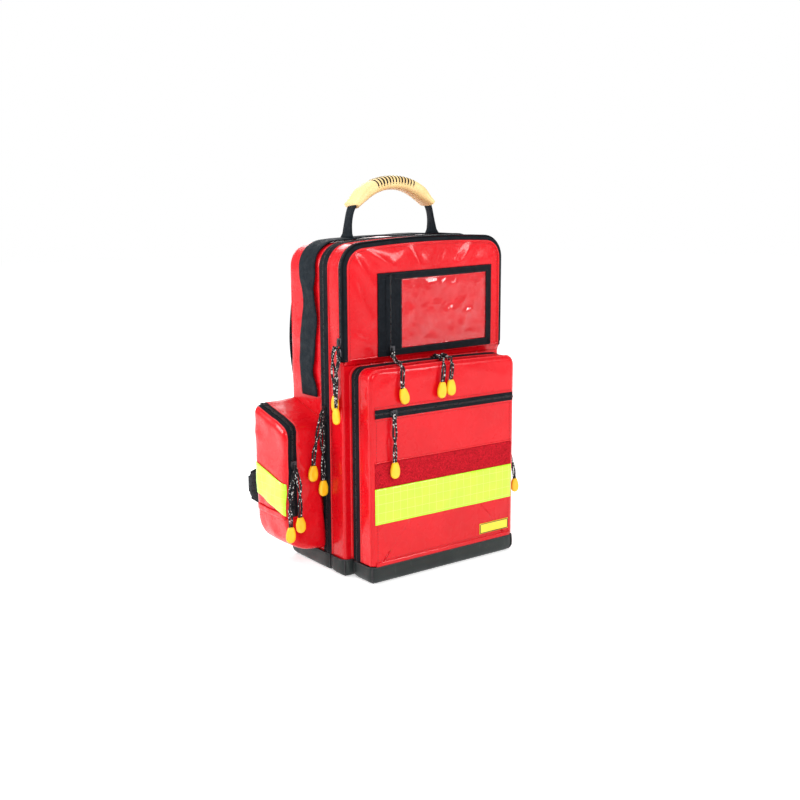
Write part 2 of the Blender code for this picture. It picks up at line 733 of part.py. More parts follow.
# name, the joint's parent pivot, the slider's middle, its outward face, the way it runs,
# the cord's route from the slider, the tag's direction, the tag's face
ZIPS = (
    (
        "window", "window_flap", (-0.0655, -0.0530, 0.3150), FORWARD, UP,
        [
            (-0.0655, -0.0560, 0.3070), (-0.0660, -0.0620, 0.3015), (-0.0690, -0.0740, 0.2998),
            (-0.0740, -0.0860, 0.2994), (-0.0780, -0.0945, 0.2940), (-0.0805, -0.0970, 0.2820),
            (-0.0810, -0.0980, 0.2690),
        ],
        (0.25, 0, -1), FORWARD,
    ),
    (
        "pocket_left", "front_pocket_lid", (0.0080, -0.0560, 0.2998), UP, LEFT,
        [
            (0.0075, -0.0632, 0.3010), (0.0040, -0.0740, 0.3000), (-0.0020, -0.0860, 0.2996),
            (-0.0070, -0.0948, 0.2945), (-0.0100, -0.0975, 0.2830), (-0.0120, -0.0980, 0.2710),
        ],
        (-0.08, 0, -1), FORWARD,
    ),
    (
        "pocket_right", "front_pocket_lid", (0.0210, -0.0560, 0.2998), UP, RIGHT,
        [
            (0.0210, -0.0632, 0.3010), (0.0180, -0.0740, 0.3000), (0.0125, -0.0860, 0.2996),
            (0.0075, -0.0948, 0.2945), (0.0045, -0.0975, 0.2830), (0.0025, -0.0980, 0.2730),
        ],
        (0.08, 0, -1), FORWARD,
    ),
    (
        "flat_pocket", "front_pocket_lid", (-0.0950, -0.0957, 0.2365), FORWARD, RIGHT,
        [
            (-0.0950, -0.0985, 0.2290), (-0.0953, -0.0990, 0.2140), (-0.0950, -0.0990, 0.1990),
            (-0.0946, -0.0985, 0.1840), (-0.0945, -0.0980, 0.1690),
        ],
        (0.02, 0, -1), FORWARD,
    ),
    (
        "mid_upper", "main_lid", (-0.1431, -0.0400, 0.3300), LEFT, UP,
        [
            (-0.1495, -0.0370, 0.3245), (-0.1502, -0.0330, 0.3090), (-0.1485, -0.0320, 0.2900),
            (-0.1470, -0.0320, 0.2720), (-0.1468, -0.0325, 0.2570),
        ],
        (0, 0.02, -1), LEFT,
    ),
    (
        "mid_lower", "main_lid", (-0.1431, -0.0400, 0.3165), LEFT, DOWN,
        [
            (-0.1475, -0.0445, 0.3085), (-0.1520, -0.0465, 0.2950), (-0.1550, -0.0475, 0.2780),
            (-0.1550, -0.0475, 0.2600), (-0.1550, -0.0470, 0.2430),
        ],
        (0, -0.03, -1), LEFT,
    ),
    (
        "main_upper", None, (-0.1431, 0.0, 0.2320), LEFT, UP,
        [
            (-0.1500, -0.0020, 0.2250), (-0.1560, -0.0050, 0.2090), (-0.1605, -0.0050, 0.1920),
            (-0.1630, -0.0025, 0.1740), (-0.1638, -0.0010, 0.1560),
        ],
        (-0.05, 0, -1), FORWARD,
    ),
    (
        "main_lower", None, (-0.1431, 0.0, 0.2180), LEFT, DOWN,
        [
            (-0.1475, -0.0010, 0.2100), (-0.1482, -0.0010, 0.1920), (-0.1484, -0.0020, 0.1720),
            (-0.1487, -0.0025, 0.1520), (-0.1490, -0.0025, 0.1330),
        ],
        (0.02, 0, -1), FORWARD,
    ),
    (
        "side_left_upper", None, (-0.1930, 0.0034, 0.1600), FORWARD, UP,
        [
            (-0.1928, -0.0025, 0.1520), (-0.1900, -0.0050, 0.1370), (-0.1888, -0.0048, 0.1200),
            (-0.1885, -0.0044, 0.1030), (-0.1885, -0.0040, 0.0870),
        ],
        (0.06, 0, -1), FORWARD,
    ),
    (
        "side_left_lower", None, (-0.1930, 0.0034, 0.1460), FORWARD, DOWN,
        [
            (-0.1965, -0.0002, 0.1375), (-0.2015, -0.0025, 0.1260), (-0.2042, -0.0045, 0.1100),
            (-0.2046, -0.0055, 0.0930), (-0.2046, -0.0055, 0.0760),
        ],
        (-0.04, 0, -1), FORWARD,
    ),
    (
        "side_right", None, (0.1930, 0.0034, 0.1500), FORWARD, UP,
        [
            (0.1945, 0.0000, 0.1420), (0.2000, -0.0030, 0.1280), (0.2070, -0.0050, 0.1120),
            (0.2110, -0.0060, 0.0960), (0.2130, -0.0060, 0.0800),
        ],
        (0.10, 0, -1), FORWARD,
    ),
)


def make_zips(pivots):
    for name, parent, place, normal, run, route, tag_way, face in ZIPS:
        slide = make_pivot(name + "_slide", place, pivots.get(parent))
        make_slider(name + "_slider", place, normal, run, slide)
        make_pull(name + "_pull", route, tag_way, face, slide)


def main():
    clear_scene()
    pivots = {"main_lid": make_pivot("main_lid", LID_HINGE)}
    pivots["window_flap"] = make_pivot("window_flap_pivot", FLAP_HINGE, pivots["main_lid"])
    pivots["front_pocket_lid"] = make_pivot("front_pocket_pivot", POCKET_HINGE, pivots["main_lid"])
    make_main_compartment()
    make_lid(pivots["main_lid"])
    make_window_flap(pivots["window_flap"])
    make_front_pocket_lid(pivots["front_pocket_lid"])
    for label, side in (("left", -1), ("right", 1)):
        hinge = (side * SIDE_HINGE_X, SIDE_FRONT, SIDE_SPLIT_Z)
        make_side_pocket(label, side, make_pivot("side_cover_pivot_" + label, hinge))
        make_shoulder_strap(label, side)
        root = (side * 0.112, 0.118, 0.098)
        make_hip_wing(label, side, make_pivot("hip_wing_pivot_" + label, root))
    make_carry_strap()
    make_handle(make_pivot("carry_handle_pivot", (0.0, STRAP_Y, HANDLE_BASE)))
    make_zips(pivots)


main()
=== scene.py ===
"""Looks of the trauma backpack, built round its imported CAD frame. Metres, in the CAD's own frame:
+Z up, -Y out of the front, +X to the right for someone facing the front."""

import json
import math

import bmesh
import bpy
from mathutils import Matrix, Vector, noise
from mathutils.bvhtree import BVHTree

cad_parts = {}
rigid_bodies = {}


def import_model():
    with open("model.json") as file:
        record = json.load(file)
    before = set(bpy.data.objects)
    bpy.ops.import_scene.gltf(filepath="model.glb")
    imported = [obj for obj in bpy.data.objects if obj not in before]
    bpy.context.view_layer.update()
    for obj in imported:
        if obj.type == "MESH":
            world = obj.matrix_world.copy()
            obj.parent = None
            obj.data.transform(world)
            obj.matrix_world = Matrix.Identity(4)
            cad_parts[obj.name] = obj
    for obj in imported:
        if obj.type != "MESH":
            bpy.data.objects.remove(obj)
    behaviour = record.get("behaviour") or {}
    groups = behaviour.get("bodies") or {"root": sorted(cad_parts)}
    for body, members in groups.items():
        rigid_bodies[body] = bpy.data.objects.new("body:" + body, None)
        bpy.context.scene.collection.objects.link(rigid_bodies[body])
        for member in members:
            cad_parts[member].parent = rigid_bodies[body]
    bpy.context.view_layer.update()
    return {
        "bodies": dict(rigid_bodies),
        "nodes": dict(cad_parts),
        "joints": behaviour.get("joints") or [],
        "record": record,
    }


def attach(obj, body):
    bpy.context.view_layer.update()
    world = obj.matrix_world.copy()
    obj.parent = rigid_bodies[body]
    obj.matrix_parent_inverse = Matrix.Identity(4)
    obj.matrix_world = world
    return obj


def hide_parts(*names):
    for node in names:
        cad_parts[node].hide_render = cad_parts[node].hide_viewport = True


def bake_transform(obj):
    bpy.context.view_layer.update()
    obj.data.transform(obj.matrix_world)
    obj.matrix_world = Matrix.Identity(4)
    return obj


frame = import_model()

# ---------------------------------------------------------------- sizes, as in the CAD source

PACK_HALF, PACK_LOW, PACK_TOP, PACK_CROWN = 0.141, 0.0106, 0.464, 0.4679
PACK_LOW_RADIUS, PACK_RADIUS, PACK_SLOPE = 0.012, 0.032, 4.0
MAIN_ZIP_Y, MID_ZIP_Y, POCKET_ZIP_Y = 0.0, -0.0416, -0.0562
MID_TAPE_BACK, FLAP_INSET = -0.0382, 0.0056
SHELL_FRONT, SHELL_BACK = 0.0093, 0.096
LID_BACK, LID_FRONT, DIVIDER_Y = -0.0098, -0.042, -0.0066
FLAP_BACK, FLAP_FRONT, FLAP_LOW = -0.044, -0.0475, 0.305
POCKET_HALF, POCKET_TOP, POCKET_FRONT = 0.129, 0.2955, -0.092
BOOT_TOP, BOOT_CORNER = 0.0253, 0.009
WINDOW_X, WINDOW_Z, WINDOW_ZIP_X, WINDOW_BAR_X = (-0.086, 0.119), (0.3075, 0.423), -0.0655, -0.045
TRIM_HALF = 0.1235
FLAT_ZIP_Z, LOOP_Z, BAND_Z = 0.2365, (0.1343, 0.169), (0.084, 0.134)
PLATE_X, PLATE_Z = (0.063, 0.119), (0.036, 0.052)
SIDE_INNER, SIDE_OUTER, SIDE_ZIP_X, SIDE_SPLIT = 0.1413, 0.205, 0.193, 0.086
SIDE_FRONT, SIDE_BACK = 0.0055, 0.093
STRAP_Y, STRAP_HALF, STRAP_LOW = 0.038, 0.019, 0.248
BACK_HALF, BACK_LOW, BACK_HIGH, BACK_FACE = 0.125, 0.040, 0.448, 0.1085
QUILT_X, QUILT_Z = (-0.040, 0.040), (0.115, 0.205, 0.295, 0.385)
HARNESS_HALF, WING_Z, PAD_SIDES = 0.0125, 0.098, 28
CORD, TAG_LENGTH, TAG_HALF_THICK = 0.0028, 0.023, 0.0035

# sizes of what the CAD leaves out
SKIN, LINED, FOLDED = 0.0012, 0.0006, 0.0008  # thickness of tarpaulin, lining and a strip that bends
TOOTH_PITCH = 0.0021
TOOTH = ((-0.00045, 0.45), (0.0001, 1.0), (0.0014, 0.9), (0.0021, 0.5))  # sideways, share of its full section
QUARTERS = ((1, 0), (0, 1), (-1, 0), (0, -1))
STUFFING, SETTLED_FRAME = 4.0, 20  # pressure in a pad, and the frame at which it has settled

FORWARD, BACKWARD = Vector((0, -1, 0)), Vector((0, 1, 0))
LEFT, RIGHT = Vector((-1, 0, 0)), Vector((1, 0, 0))
UP, DOWN = Vector((0, 0, 1)), Vector((0, 0, -1))

# ---------------------------------------------------------------- materials


class Look:
    """A Principled material with its pattern nodes, all in the row frame's own coordinates."""

    def __init__(self, name, slot, colour, roughness, **inputs):
        self.material = bpy.data.materials.new(name)
        self.material.use_nodes = True
        self.material["slot"] = slot
        self.tree = self.material.node_tree
        self.shader = self.tree.nodes["Principled BSDF"]
        self.put(self.shader, "Base Color", (*colour, 1.0))
        self.put(self.shader, "Roughness", roughness)
        for key, value in inputs.items():
            self.put(self.shader, key.replace("_", " "), value)
        self.place = self.node("ShaderNodeTexCoord").outputs["Object"]
        self.normal = None

    def put(self, node, key, value):
        if isinstance(value, bpy.types.NodeSocket):
            self.tree.links.new(value, node.inputs[key])
        else:
            node.inputs[key].default_value = value

    def node(self, kind, inputs=(), **settings):
        made = self.tree.nodes.new(kind)
        for key, value in settings.items():
            setattr(made, key, value)
        for key, value in inputs:
            self.put(made, key, value)
        return made

    def maths(self, operation, a, b=0.0):
        return self.node("ShaderNodeMath", ((0, a), (1, b)), operation=operation).outputs[0]

    def axes(self):
        return self.node("ShaderNodeSeparateXYZ", ((0, self.place),)).outputs

    def noise(self, scale, detail=2.0, distortion=0.0, stretch=None):
        place = self.place
        if stretch:
            place = self.node("ShaderNodeMapping", (("Vector", place), ("Scale", stretch))).outputs[0]
        inputs = (("Vector", place), ("Scale", scale), ("Detail", detail), ("Distortion", distortion))
        return self.node("ShaderNodeTexNoise", inputs).outputs["Fac"]

    def cells(self, scale):
        return self.node("ShaderNodeTexVoronoi", (("Vector", self.place), ("Scale", scale))).outputs

    def span(self, value, low, high, start=0.3, end=0.7):
        inputs = (("From Min", start), ("From Max", end), ("To Min", low), ("To Max", high))
        return self.node("ShaderNodeMapRange", (("Value", value), *inputs)).outputs[0]

    def blend(self, share, first, second):
        made = self.node("ShaderNodeMix", ((0, share),), data_type="RGBA")
        for index, colour in ((6, first), (7, second)):
            self.put(made, index, colour if isinstance(colour, bpy.types.NodeSocket) else (*colour, 1.0))
        return made.outputs[2]

    def colour(self, share, first, second):
        self.put(self.shader, "Base Color", self.blend(share, first, second))

    def mottle(self, first, second, *pattern):
        """Drifts between two colours over a noise of that scale, detail and distortion."""
        self.colour(self.span(self.noise(*pattern), 0, 1), first, second)

    def wear(self, low, high, *pattern):
        self.put(self.shader, "Roughness", self.span(self.noise(*pattern), low, high))

    def ripple(self, pitch):
        """A woven relief: the sum of a sine along each axis."""
        turned = [self.maths("MULTIPLY", axis, 2 * math.pi / pitch) for axis in self.axes()]
        waves = [self.maths("SINE", axis) for axis in turned]
        return self.maths("ADD", self.maths("ADD", waves[0], waves[1]), waves[2])

    def twill(self, pitch):
        """Slanting ribs that turn over, as in herringbone webbing."""
        x, y, z = self.axes()
        fold = self.maths("ABSOLUTE", self.maths("ADD", x, y))
        slant = self.maths("ADD", self.maths("MULTIPLY", fold, 0.9), z)
        return self.maths("SINE", self.maths("MULTIPLY", slant, 2 * math.pi / pitch))

    def bump(self, height, distance, strength=1.0):
        inputs = [("Height", height), ("Distance", distance), ("Strength", strength)]
        if self.normal:
            inputs.append(("Normal", self.normal))
        self.normal = self.node("ShaderNodeBump", inputs).outputs[0]
        self.put(self.shader, "Normal", self.normal)


def tarpaulin(name, slot, base, deep, roughness, wrinkle, coat):
    look = Look(name, slot, base, roughness, Coat_Weight=coat, Coat_Roughness=0.10, Coat_IOR=1.5)
    look.put(look.shader, "Specular IOR Level", 0.16)
    look.mottle(base, deep, 11, 4, 0.6)
    look.wear(roughness * 0.8, roughness * 1.35, 60, 3)
    look.bump(look.noise(16, 3, 0.9), wrinkle, 0.75)
    look.bump(look.noise(55, 2, 0.3), wrinkle * 0.22, 0.6)
    look.bump(look.ripple(0.0015), 0.00005, 0.35)
    return look.material


def woven(name, base, worn, pitch, twill=False):
    look = Look(name, name, base, 0.72, Specular_IOR_Level=0.14)
    look.mottle(base, worn, 240, 2)
    look.wear(0.58, 0.86, 90, 2)
    look.bump(look.noise(30, 2), 0.0006, 0.5)
    look.bump(look.twill(pitch) if twill else look.ripple(pitch), 0.00022, 0.8)
    look.bump(look.noise(1400, 1), 0.00008, 0.5)
    return look.material


def padding(name):
    look = Look(name, name, (0.014, 0.015, 0.017), 0.85, Specular_IOR_Level=0.2)
    dots = look.cells(330)["Distance"]
    look.colour(look.span(dots, 0, 1, 0.15, 0.55), (0.006, 0.006, 0.007), (0.030, 0.032, 0.036))
    look.bump(look.noise(40, 3), 0.001, 0.5)
    look.bump(dots, 0.0007, 0.9)
    return look.material


def rubber(name):
    look = Look(name, name, (0.014, 0.019, 0.019), 0.42, Specular_IOR_Level=0.3)
    tone = look.blend(look.span(look.noise(14, 4, 0.4), 0, 1), (0.008, 0.012, 0.012), (0.022, 0.029, 0.028))
    scuffs = look.span(look.noise(120, 5, 1.2, (1, 1, 0.3)), 0, 0.35, 0.62, 0.75)
    look.colour(scuffs, tone, (0.075, 0.085, 0.08))
    look.wear(0.33, 0.58, 35, 3)
    look.bump(look.noise(20, 3, 0.5), 0.0016, 0.6)
    look.bump(look.cells(900)["Distance"], 0.00012, 0.8)
    return look.material


def loops(name):
    look = Look(name, name, (0.40, 0.008, 0.016), 0.95, Specular_IOR_Level=0.15)
    fuzz = look.noise(520, 4, 1.5)
    look.colour(look.span(fuzz, 0, 1, 0.36, 0.66), (0.26, 0.002, 0.006), (0.66, 0.011, 0.025))
    look.bump(fuzz, 0.0009, 0.9)
    return look.material


def film(name):
    look = Look(name, name, (1.0, 0.96, 0.96), 0.05, Transmission_Weight=1.0, IOR=1.3, Alpha=0.3)
    look.put(look.shader, "Coat Weight", 1.0)
    look.put(look.shader, "Coat Roughness", 0.05)
    look.bump(look.noise(30, 3, 1.4), 0.0018, 0.4)
    look.bump(look.noise(90, 2, 0.6), 0.0003, 0.3)
    return look.material


def reflective(name):
    """Lime prismatic tape: fine prisms in welded squares, paler along its welds, with a painted glow."""
    look = Look(name, name, (0.60, 0.95, 0.01), 0.30, Coat_Weight=0.5, Coat_Roughness=0.08)
    x, y, z = look.axes()
    run = look.maths("ADD", x, y)
    weld_pitch, weld_width, prism = 0.0125, 0.0006, 0.0011
    lines = [
        look.maths("LESS_THAN", look.maths("PINGPONG", value, weld_pitch / 2), weld_width / 2)
        for value in (run, z)
    ]
    grid = look.maths("MAXIMUM", *lines)
    slants = [look.maths("PINGPONG", look.maths(way, run, z), prism) for way in ("ADD", "SUBTRACT")]
    prisms = look.maths("MAXIMUM", *slants)
    tone = look.blend(look.span(look.noise(34, 2, 0.4), 0, 1), (0.50, 0.92, 0.014), (0.44, 0.88, 0.014))
    look.colour(look.maths("MULTIPLY", grid, 0.55), tone, (0.80, 1.0, 0.22))
    # Painted glow: the emission stands in for the tape's fluorescent brightness and shines whatever the light.
    look.put(look.shader, "Emission Color", (0.50, 0.95, 0.01, 1.0))
    look.put(look.shader, "Emission Strength", 0.22)
    look.bump(prisms, 0.00025, 0.5)
    look.bump(grid, 0.0002, 0.8)
    return look.material


def moulded(name, slot, base, deep, roughness, **inputs):
    look = Look(name, slot, base, roughness, **inputs)
    look.mottle(base, deep, 70, 3)
    look.wear(roughness * 0.8, roughness * 1.3, 160, 3)
    look.bump(look.noise(900, 2), 0.00008, 0.6)
    return look.material


def flecked(name, slot):
    """Braided cord: black with white tracer strands."""
    black = (0.008, 0.008, 0.010)
    look = Look(name, slot, black, 0.75, Specular_IOR_Level=0.3)
    cell = look.cells(620)
    spot = look.node("ShaderNodeSeparateColor", ((0, cell["Color"]),)).outputs[0]
    look.colour(look.maths("GREATER_THAN", spot, 0.86), black, (0.62, 0.62, 0.60))
    look.bump(cell["Distance"], 0.0006, 0.8)
    return look.material


# name, slot, colour, deeper colour, roughness, wrinkle, coat
RED = tarpaulin(
    "red_tarpaulin", "red_tarpaulin", (0.70, 0.003, 0.010), (0.60, 0.002, 0.007), 0.26, 0.0026, 0.30
)
# The welt is a paler copy of the red tarpaulin: its lighter colour is a painted highlight along the piping.
WELT_PAINTED_HIGHLIGHT = tarpaulin("red_welt_painted_highlight", "red_tarpaulin", (0.80, 0.030, 0.036), (0.66, 0.010, 0.016), 0.34, 0.0008, 0.2)
LINING = tarpaulin(
    "dark_lining", "black_mesh_padding", (0.020, 0.021, 0.024), (0.028, 0.029, 0.032), 0.55, 0.002, 0.05
)
TAPE = woven("black_zip_tape", (0.005, 0.007, 0.010), (0.009, 0.013, 0.018), 0.0011)
WEBBING = woven("black_webbing", (0.005, 0.009, 0.013), (0.013, 0.020, 0.027), 0.0019, True)
PAD = padding("black_mesh_padding")
BOOT = rubber("rubberised_boot")
LOOP = loops("red_loop_tape")
FILM = film("clear_film")
LIME = reflective("lime_reflective")
FLECKED = flecked("flecked_cord", "pull_cord_and_tag")
# name, slot, colour, deeper colour, roughness
RED_THREAD = moulded("red_thread", "red_tarpaulin", (0.42, 0.008, 0.012), (0.34, 0.006, 0.010), 0.7)
BLACK_THREAD = moulded("black_thread", "black_webbing", (0.022, 0.022, 0.025), (0.012, 0.012, 0.014), 0.6)
TEETH = moulded("zip_teeth", "black_zip_tape", (0.014, 0.015, 0.018), (0.028, 0.030, 0.034), 0.28)
PLATE = moulded("yellow_plate", "yellow_plate", (0.93, 0.74, 0.03), (0.88, 0.66, 0.02), 0.4, Coat_Weight=0.3)
INK = moulded("plate_mark", "yellow_plate", (0.03, 0.028, 0.02), (0.02, 0.018, 0.015), 0.5)
GRIP = moulded("tan_grip", "tan_grip", (0.92, 0.70, 0.33), (0.86, 0.61, 0.25), 0.46)
# A darkened copy of the tan grip: painted shade for the slits' hollows.
SLIT_PAINTED_SHADE = moulded("grip_slit_painted_shade", "tan_grip", (0.030, 0.022, 0.014), (0.02, 0.015, 0.01), 0.7)
METAL = moulded(
    "blackened_metal", "blackened_metal", (0.045, 0.045, 0.05), (0.10, 0.10, 0.11), 0.33, Metallic=0.9
)
PLASTIC = moulded("black_plastic", "black_plastic", (0.014, 0.014, 0.016), (0.024, 0.024, 0.027), 0.42)
TAG = moulded("yellow_tag", "pull_cord_and_tag", (0.96, 0.58, 0.012), (0.94, 0.46, 0.006), 0.34)

# ---------------------------------------------------------------- mesh helpers


def ease(value, width):
    t = min(max(value / width, 0.0), 1.0)
    return t * t * (3 - 2 * t)


def lean(p):
    """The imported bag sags: above the front pocket its left is a little lower than its right."""
    return Vector((p[0], p[1], p[2] + 0.036 * p[0] * ease(p[2] - 0.285, 0.050)))


class Shape:
    """Points and faces gathered into one mesh."""

    def __init__(self):
        self.points, self.faces = [], []

    def add(self, points, faces):
        first = len(self.points)
        self.points += [Vector(p) for p in points]
        self.faces += [tuple(first + n for n in face) for face in faces]
        return self

    def join(self, other):
        return self.add(other.points, other.faces)

    def grid(self, rows, closed=False, flip=False, end=False, start=False):
        """Quads between rows of points. end and start fill the last and first row with one face."""
        count = len(rows[0])
        faces = []
        for r in range(len(rows) - 1):
            for c in range(count if closed else count - 1):
                d = (c + 1) % count
                face = (r * count + c, r * count + d, (r + 1) * count + d, (r + 1) * count + c)
                faces.append(face[::-1] if flip else face)
        last = tuple(range((len(rows) - 1) * count, len(rows) * count))
        if end:
            faces.append(last[::-1] if flip else last)
        if start:
            faces.append(tuple(range(count)) if flip else tuple(range(count))[::-1])
        return self.add([p for row in rows for p in row], faces)

    def lift(self, height):
        """Moves each point along its normal by height(point)."""
        mesh = bpy.data.meshes.new("lift")
        mesh.from_pydata(self.points, [], self.faces)
        mesh.update()
        for n, vertex in enumerate(mesh.vertices):
            self.points[n] = self.points[n] + vertex.normal * height(self.points[n])
        bpy.data.meshes.remove(mesh)
        return self

    def cut(self, planes, keep):
        """Cuts the faces along planes of (point, normal), and keeps those whose middle passes the test."""
        shape = bmesh.new()
        verts = [shape.verts.new(p) for p in self.points]
        for face in self.faces:
            shape.faces.new([verts[n] for n in face])
        for place, normal in planes:
            everything = shape.verts[:] + shape.edges[:] + shape.faces[:]
            bmesh.ops.bisect_plane(shape, geom=everything, plane_co=place, plane_no=normal)
        lost = [f for f in shape.faces if not keep(f.calc_center_median())]
        bmesh.ops.delete(shape, geom=lost, context="FACES")
        shape.verts.index_update()
        self.points = [v.co.copy() for v in shape.verts]
        self.faces = [tuple(v.index for v in f.verts) for f in shape.faces]
        shape.free()
        return self

    def made(self, name, look, thick=0.0, smooth=True):
        mesh = bpy.data.meshes.new(name)
        mesh.from_pydata([lean(p) for p in self.points], [], self.faces)
        mesh.materials.append(look)
        mesh.polygons.foreach_set("use_smooth", [smooth] * len(mesh.polygons))
        mesh.update()
        obj = bpy.data.objects.new(name, mesh)
        bpy.context.scene.collection.objects.link(obj)
        if thick:
            solid = obj.modifiers.new("thickness", "SOLIDIFY")
            solid.thickness = thick
            solid.offset = -1
        return obj


def seat(obj, body, *nodes):
    """Hides the CAD nodes a piece stands for and attaches it to the body it moves with."""
    if nodes:
        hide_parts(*nodes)
    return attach(obj, body)


def bridge(obj, a, b, start, end, *nodes):
    """Hides the CAD nodes of fabric across a joint and bakes its placement into its mesh."""
    if nodes:
        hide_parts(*nodes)
    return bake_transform(obj)


def stuff(obj, sewn, most):
    """Swells a pad under its own filling by cloth simulation, held at its sewn vertices, by at most that
    much."""
    obj.vertex_groups.new(name="sewn").add(sewn, 1.0, "REPLACE")
    filling = obj.modifiers.new("filling", "CLOTH")
    filling.settings.vertex_group_mass = "sewn"
    filling.settings.use_pressure = True
    filling.settings.uniform_pressure_force = STUFFING
    filling.settings.effector_weights.gravity = 0
    filling.point_cache.frame_end = SETTLED_FRAME
    scene = bpy.context.scene
    for frame in range(1, SETTLED_FRAME + 1):
        scene.frame_set(frame)
    swollen = obj.evaluated_get(bpy.context.evaluated_depsgraph_get()).data
    for vertex, moved in zip(obj.data.vertices, swollen.vertices):
        step = moved.co - vertex.co
        vertex.co += step * min(1.0, most / max(step.length, 1e-9))
    obj.modifiers.remove(filling)
    obj.vertex_groups.clear()
    scene.frame_set(1)
    obj.modifiers.new("subdivision", "SUBSURF").render_levels = 1
    return obj


def ring_places(obj, sides, held):
    """The vertices of a swept pad at the held places of each ring, and those of its first and last rings."""
    last = len(obj.data.vertices) // sides - 1
    ends = (0, 1, last - 1, last)
    return [n for n in range(len(obj.data.vertices)) if n % sides in held or n // sides in ends]


def ruffle(p, size, seed=0.0):
    return noise.noise(Vector((p[0] / size + seed, p[1] / size - seed, p[2] / size + 2 * seed)))


def crease(p, size, seed=0.0):
    """Sharp crests between soft hollows, about -0.5 to 0.5."""
    return 0.5 - 2.2 * abs(ruffle(p, size, seed))


def steps(low, high, size):
    count = max(1, math.ceil(abs(high - low) / size))
    return [low + (high - low) * n / count for n in range(count + 1)]


def smooth(points, count):
    """Points on a Catmull-Rom curve through the given ones."""
    given = [Vector(p) for p in points]
    ends = [given[0] * 2 - given[1], *given, given[-1] * 2 - given[-2]]
    curve = []
    for a, b, c, d in zip(ends, ends[1:], ends[2:], ends[3:]):
        for n in range(count):
            t = n / count
            even = 2 * b + (c - a) * t + (2 * a - 5 * b + 4 * c - d) * t * t
            curve.append(0.5 * (even + (3 * b - a - 3 * c + d) * t**3))
    return curve + [ends[-2]]


def resample(line, step, closed=False, count=None):
    """Evenly spaced points along a polyline, about a step apart or exactly that many."""
    points = [Vector(p) for p in line] + ([Vector(line[0])] if closed else [])
    along = [0.0]
    for a, b in zip(points, points[1:]):
        along.append(along[-1] + (b - a).length)
    count = count or max(2, round(along[-1] / step))
    result, k = [], 0
    for n in range(count if closed else count + 1):
        want = along[-1] * n / count
        while k < len(along) - 2 and along[k + 1] < want:
            k += 1
        share = (want - along[k]) / max(along[k + 1] - along[k], 1e-12)
        result.append(points[k].lerp(points[k + 1], min(share, 1.0)))
    return result


def tangents(points, closed=False):
    count = len(points)
    result = []
    for n in range(count):
        before = points[n - 1] if n or closed else points[0]
        after = points[(n + 1) % count] if n + 1 < count or closed else points[-1]
        result.append((after - before).normalized())
    return result


def turns(count):
    return [2 * math.pi * n / count for n in range(count)]


def squared(angle, power_u, power_v):
    """A place on a squared-off circle, from -1 to 1 each way."""
    u, v = math.cos(angle), math.sin(angle)
    return math.copysign(abs(u) ** power_u, u), math.copysign(abs(v) ** power_v, v)


def tube(points, radius, sides=8, closed=False):
    """A round tube along points, its ends filled unless it is closed."""
    rows, up = [], None
    for here, along in zip(points, tangents(points, closed)):
        if up is None:
            up = along.orthogonal().normalized()
        up = (up - along * up.dot(along)).normalized()
        side = along.cross(up)
        rows.append([here + (up * math.cos(a) + side * math.sin(a)) * radius for a in turns(sides)])
    if closed:
        rows.append(rows[0])
    return Shape().grid(rows, closed=True, end=not closed, start=not closed)


def ribbon(points, side, profile):
    """A strip along points. side is its sideways direction, and profile is (sideways, height) pairs from one
    edge to the other. Height is along the strip's own normal."""
    rows = []
    for here, along in zip(points, tangents(points)):
        across = (side - along * side.dot(along)).normalized()
        out = across.cross(along)
        rows.append([here + across * a + out * h for a, h in profile])
    return Shape().grid(rows, flip=True)


def followed(rail, places, cornered=False):
    """Each place with its direction and the normal of the nearest entry of a rail of (point, normal). The entries
    are taken in turn, or all looked over for a rail that is cornered."""
    k = 0
    for here, along in zip(places, tangents(places)):
        while k < len(rail) - 1 and (rail[k + 1][0] - here).length < (rail[k][0] - here).length:
            k += 1
        nearest = min(rail, key=lambda entry: (entry[0] - here).length) if cornered else rail[k]
        yield here, along, nearest[1]


def stitches(rail, pitch=0.0042, length=0.0026, radius=0.00036):
    """Thread dashes along a rail of (point, normal)."""
    shape, half = Shape(), length / 2
    for here, along, out in followed(rail, resample([p for p, _ in rail], pitch)):
        out = out.normalized()
        side = along.cross(out)
        rings = []
        for a, share in ((-half, 0.35), (-half * 0.6, 1.0), (half * 0.6, 1.0), (half, 0.35)):
            rings.append([here + along * a + (side * c + out * s) * radius * share for c, s in QUARTERS])
        shape.grid(rings, closed=True, end=True, start=True)
    return shape


def arc(centre, radius, start, end, count=16):
    turn = [math.radians(start + (end - start) * n / count) for n in range(count + 1)]
    return [(centre[0] + radius * math.cos(a), centre[1] + radius * math.sin(a)) for a in turn]


def outline(half, bottom, top, low_radius, top_radius, slope, low=None):
    """Front view of a casing, counter-clockwise: all round from the bottom middle, or from height low at the
    right over the top."""
    tilt = math.radians(slope)
    high = (half - top_radius, top - top_radius * math.cos(tilt))
    corner = arc(high, top_radius, 0, 90 - slope)
    crown_radius = corner[-1][0] / math.sin(tilt)
    crown = arc((0.0, top - crown_radius * math.cos(tilt)), crown_radius, 90 - slope, 90)
    if low is None:
        start = [(0.0, bottom), *arc((half - low_radius, bottom + low_radius), low_radius, 270, 360, 8)]
    else:
        start = [(half, low)]
    right = [*start, *corner, *crown[1:]]
    left = [(-x, z) for x, z in reversed(right[:-1])]
    return right + (left[:-1] if low is None else left)


def railed(flat, y, step, closed=False, inset=0.0):
    """An outline at depth y as (point, outward normal), evenly spaced."""
    points = resample([(x, y, z) for x, z in flat], step, closed)
    rail = []
    for here, along in zip(points, tangents(points, closed)):
        out = Vector((along.z, 0.0, -along.x))
        rail.append((here - out * inset, out))
    return rail


def ringed(rail, stations):
    """Rows of points for stations of (inset, y)."""
    return [[Vector((p.x, y, p.z)) - out * inset for p, out in rail] for inset, y in stations]


def capped(row, centre, shares):
    return [[centre + (p - centre) * share for p in row] for share in shares]


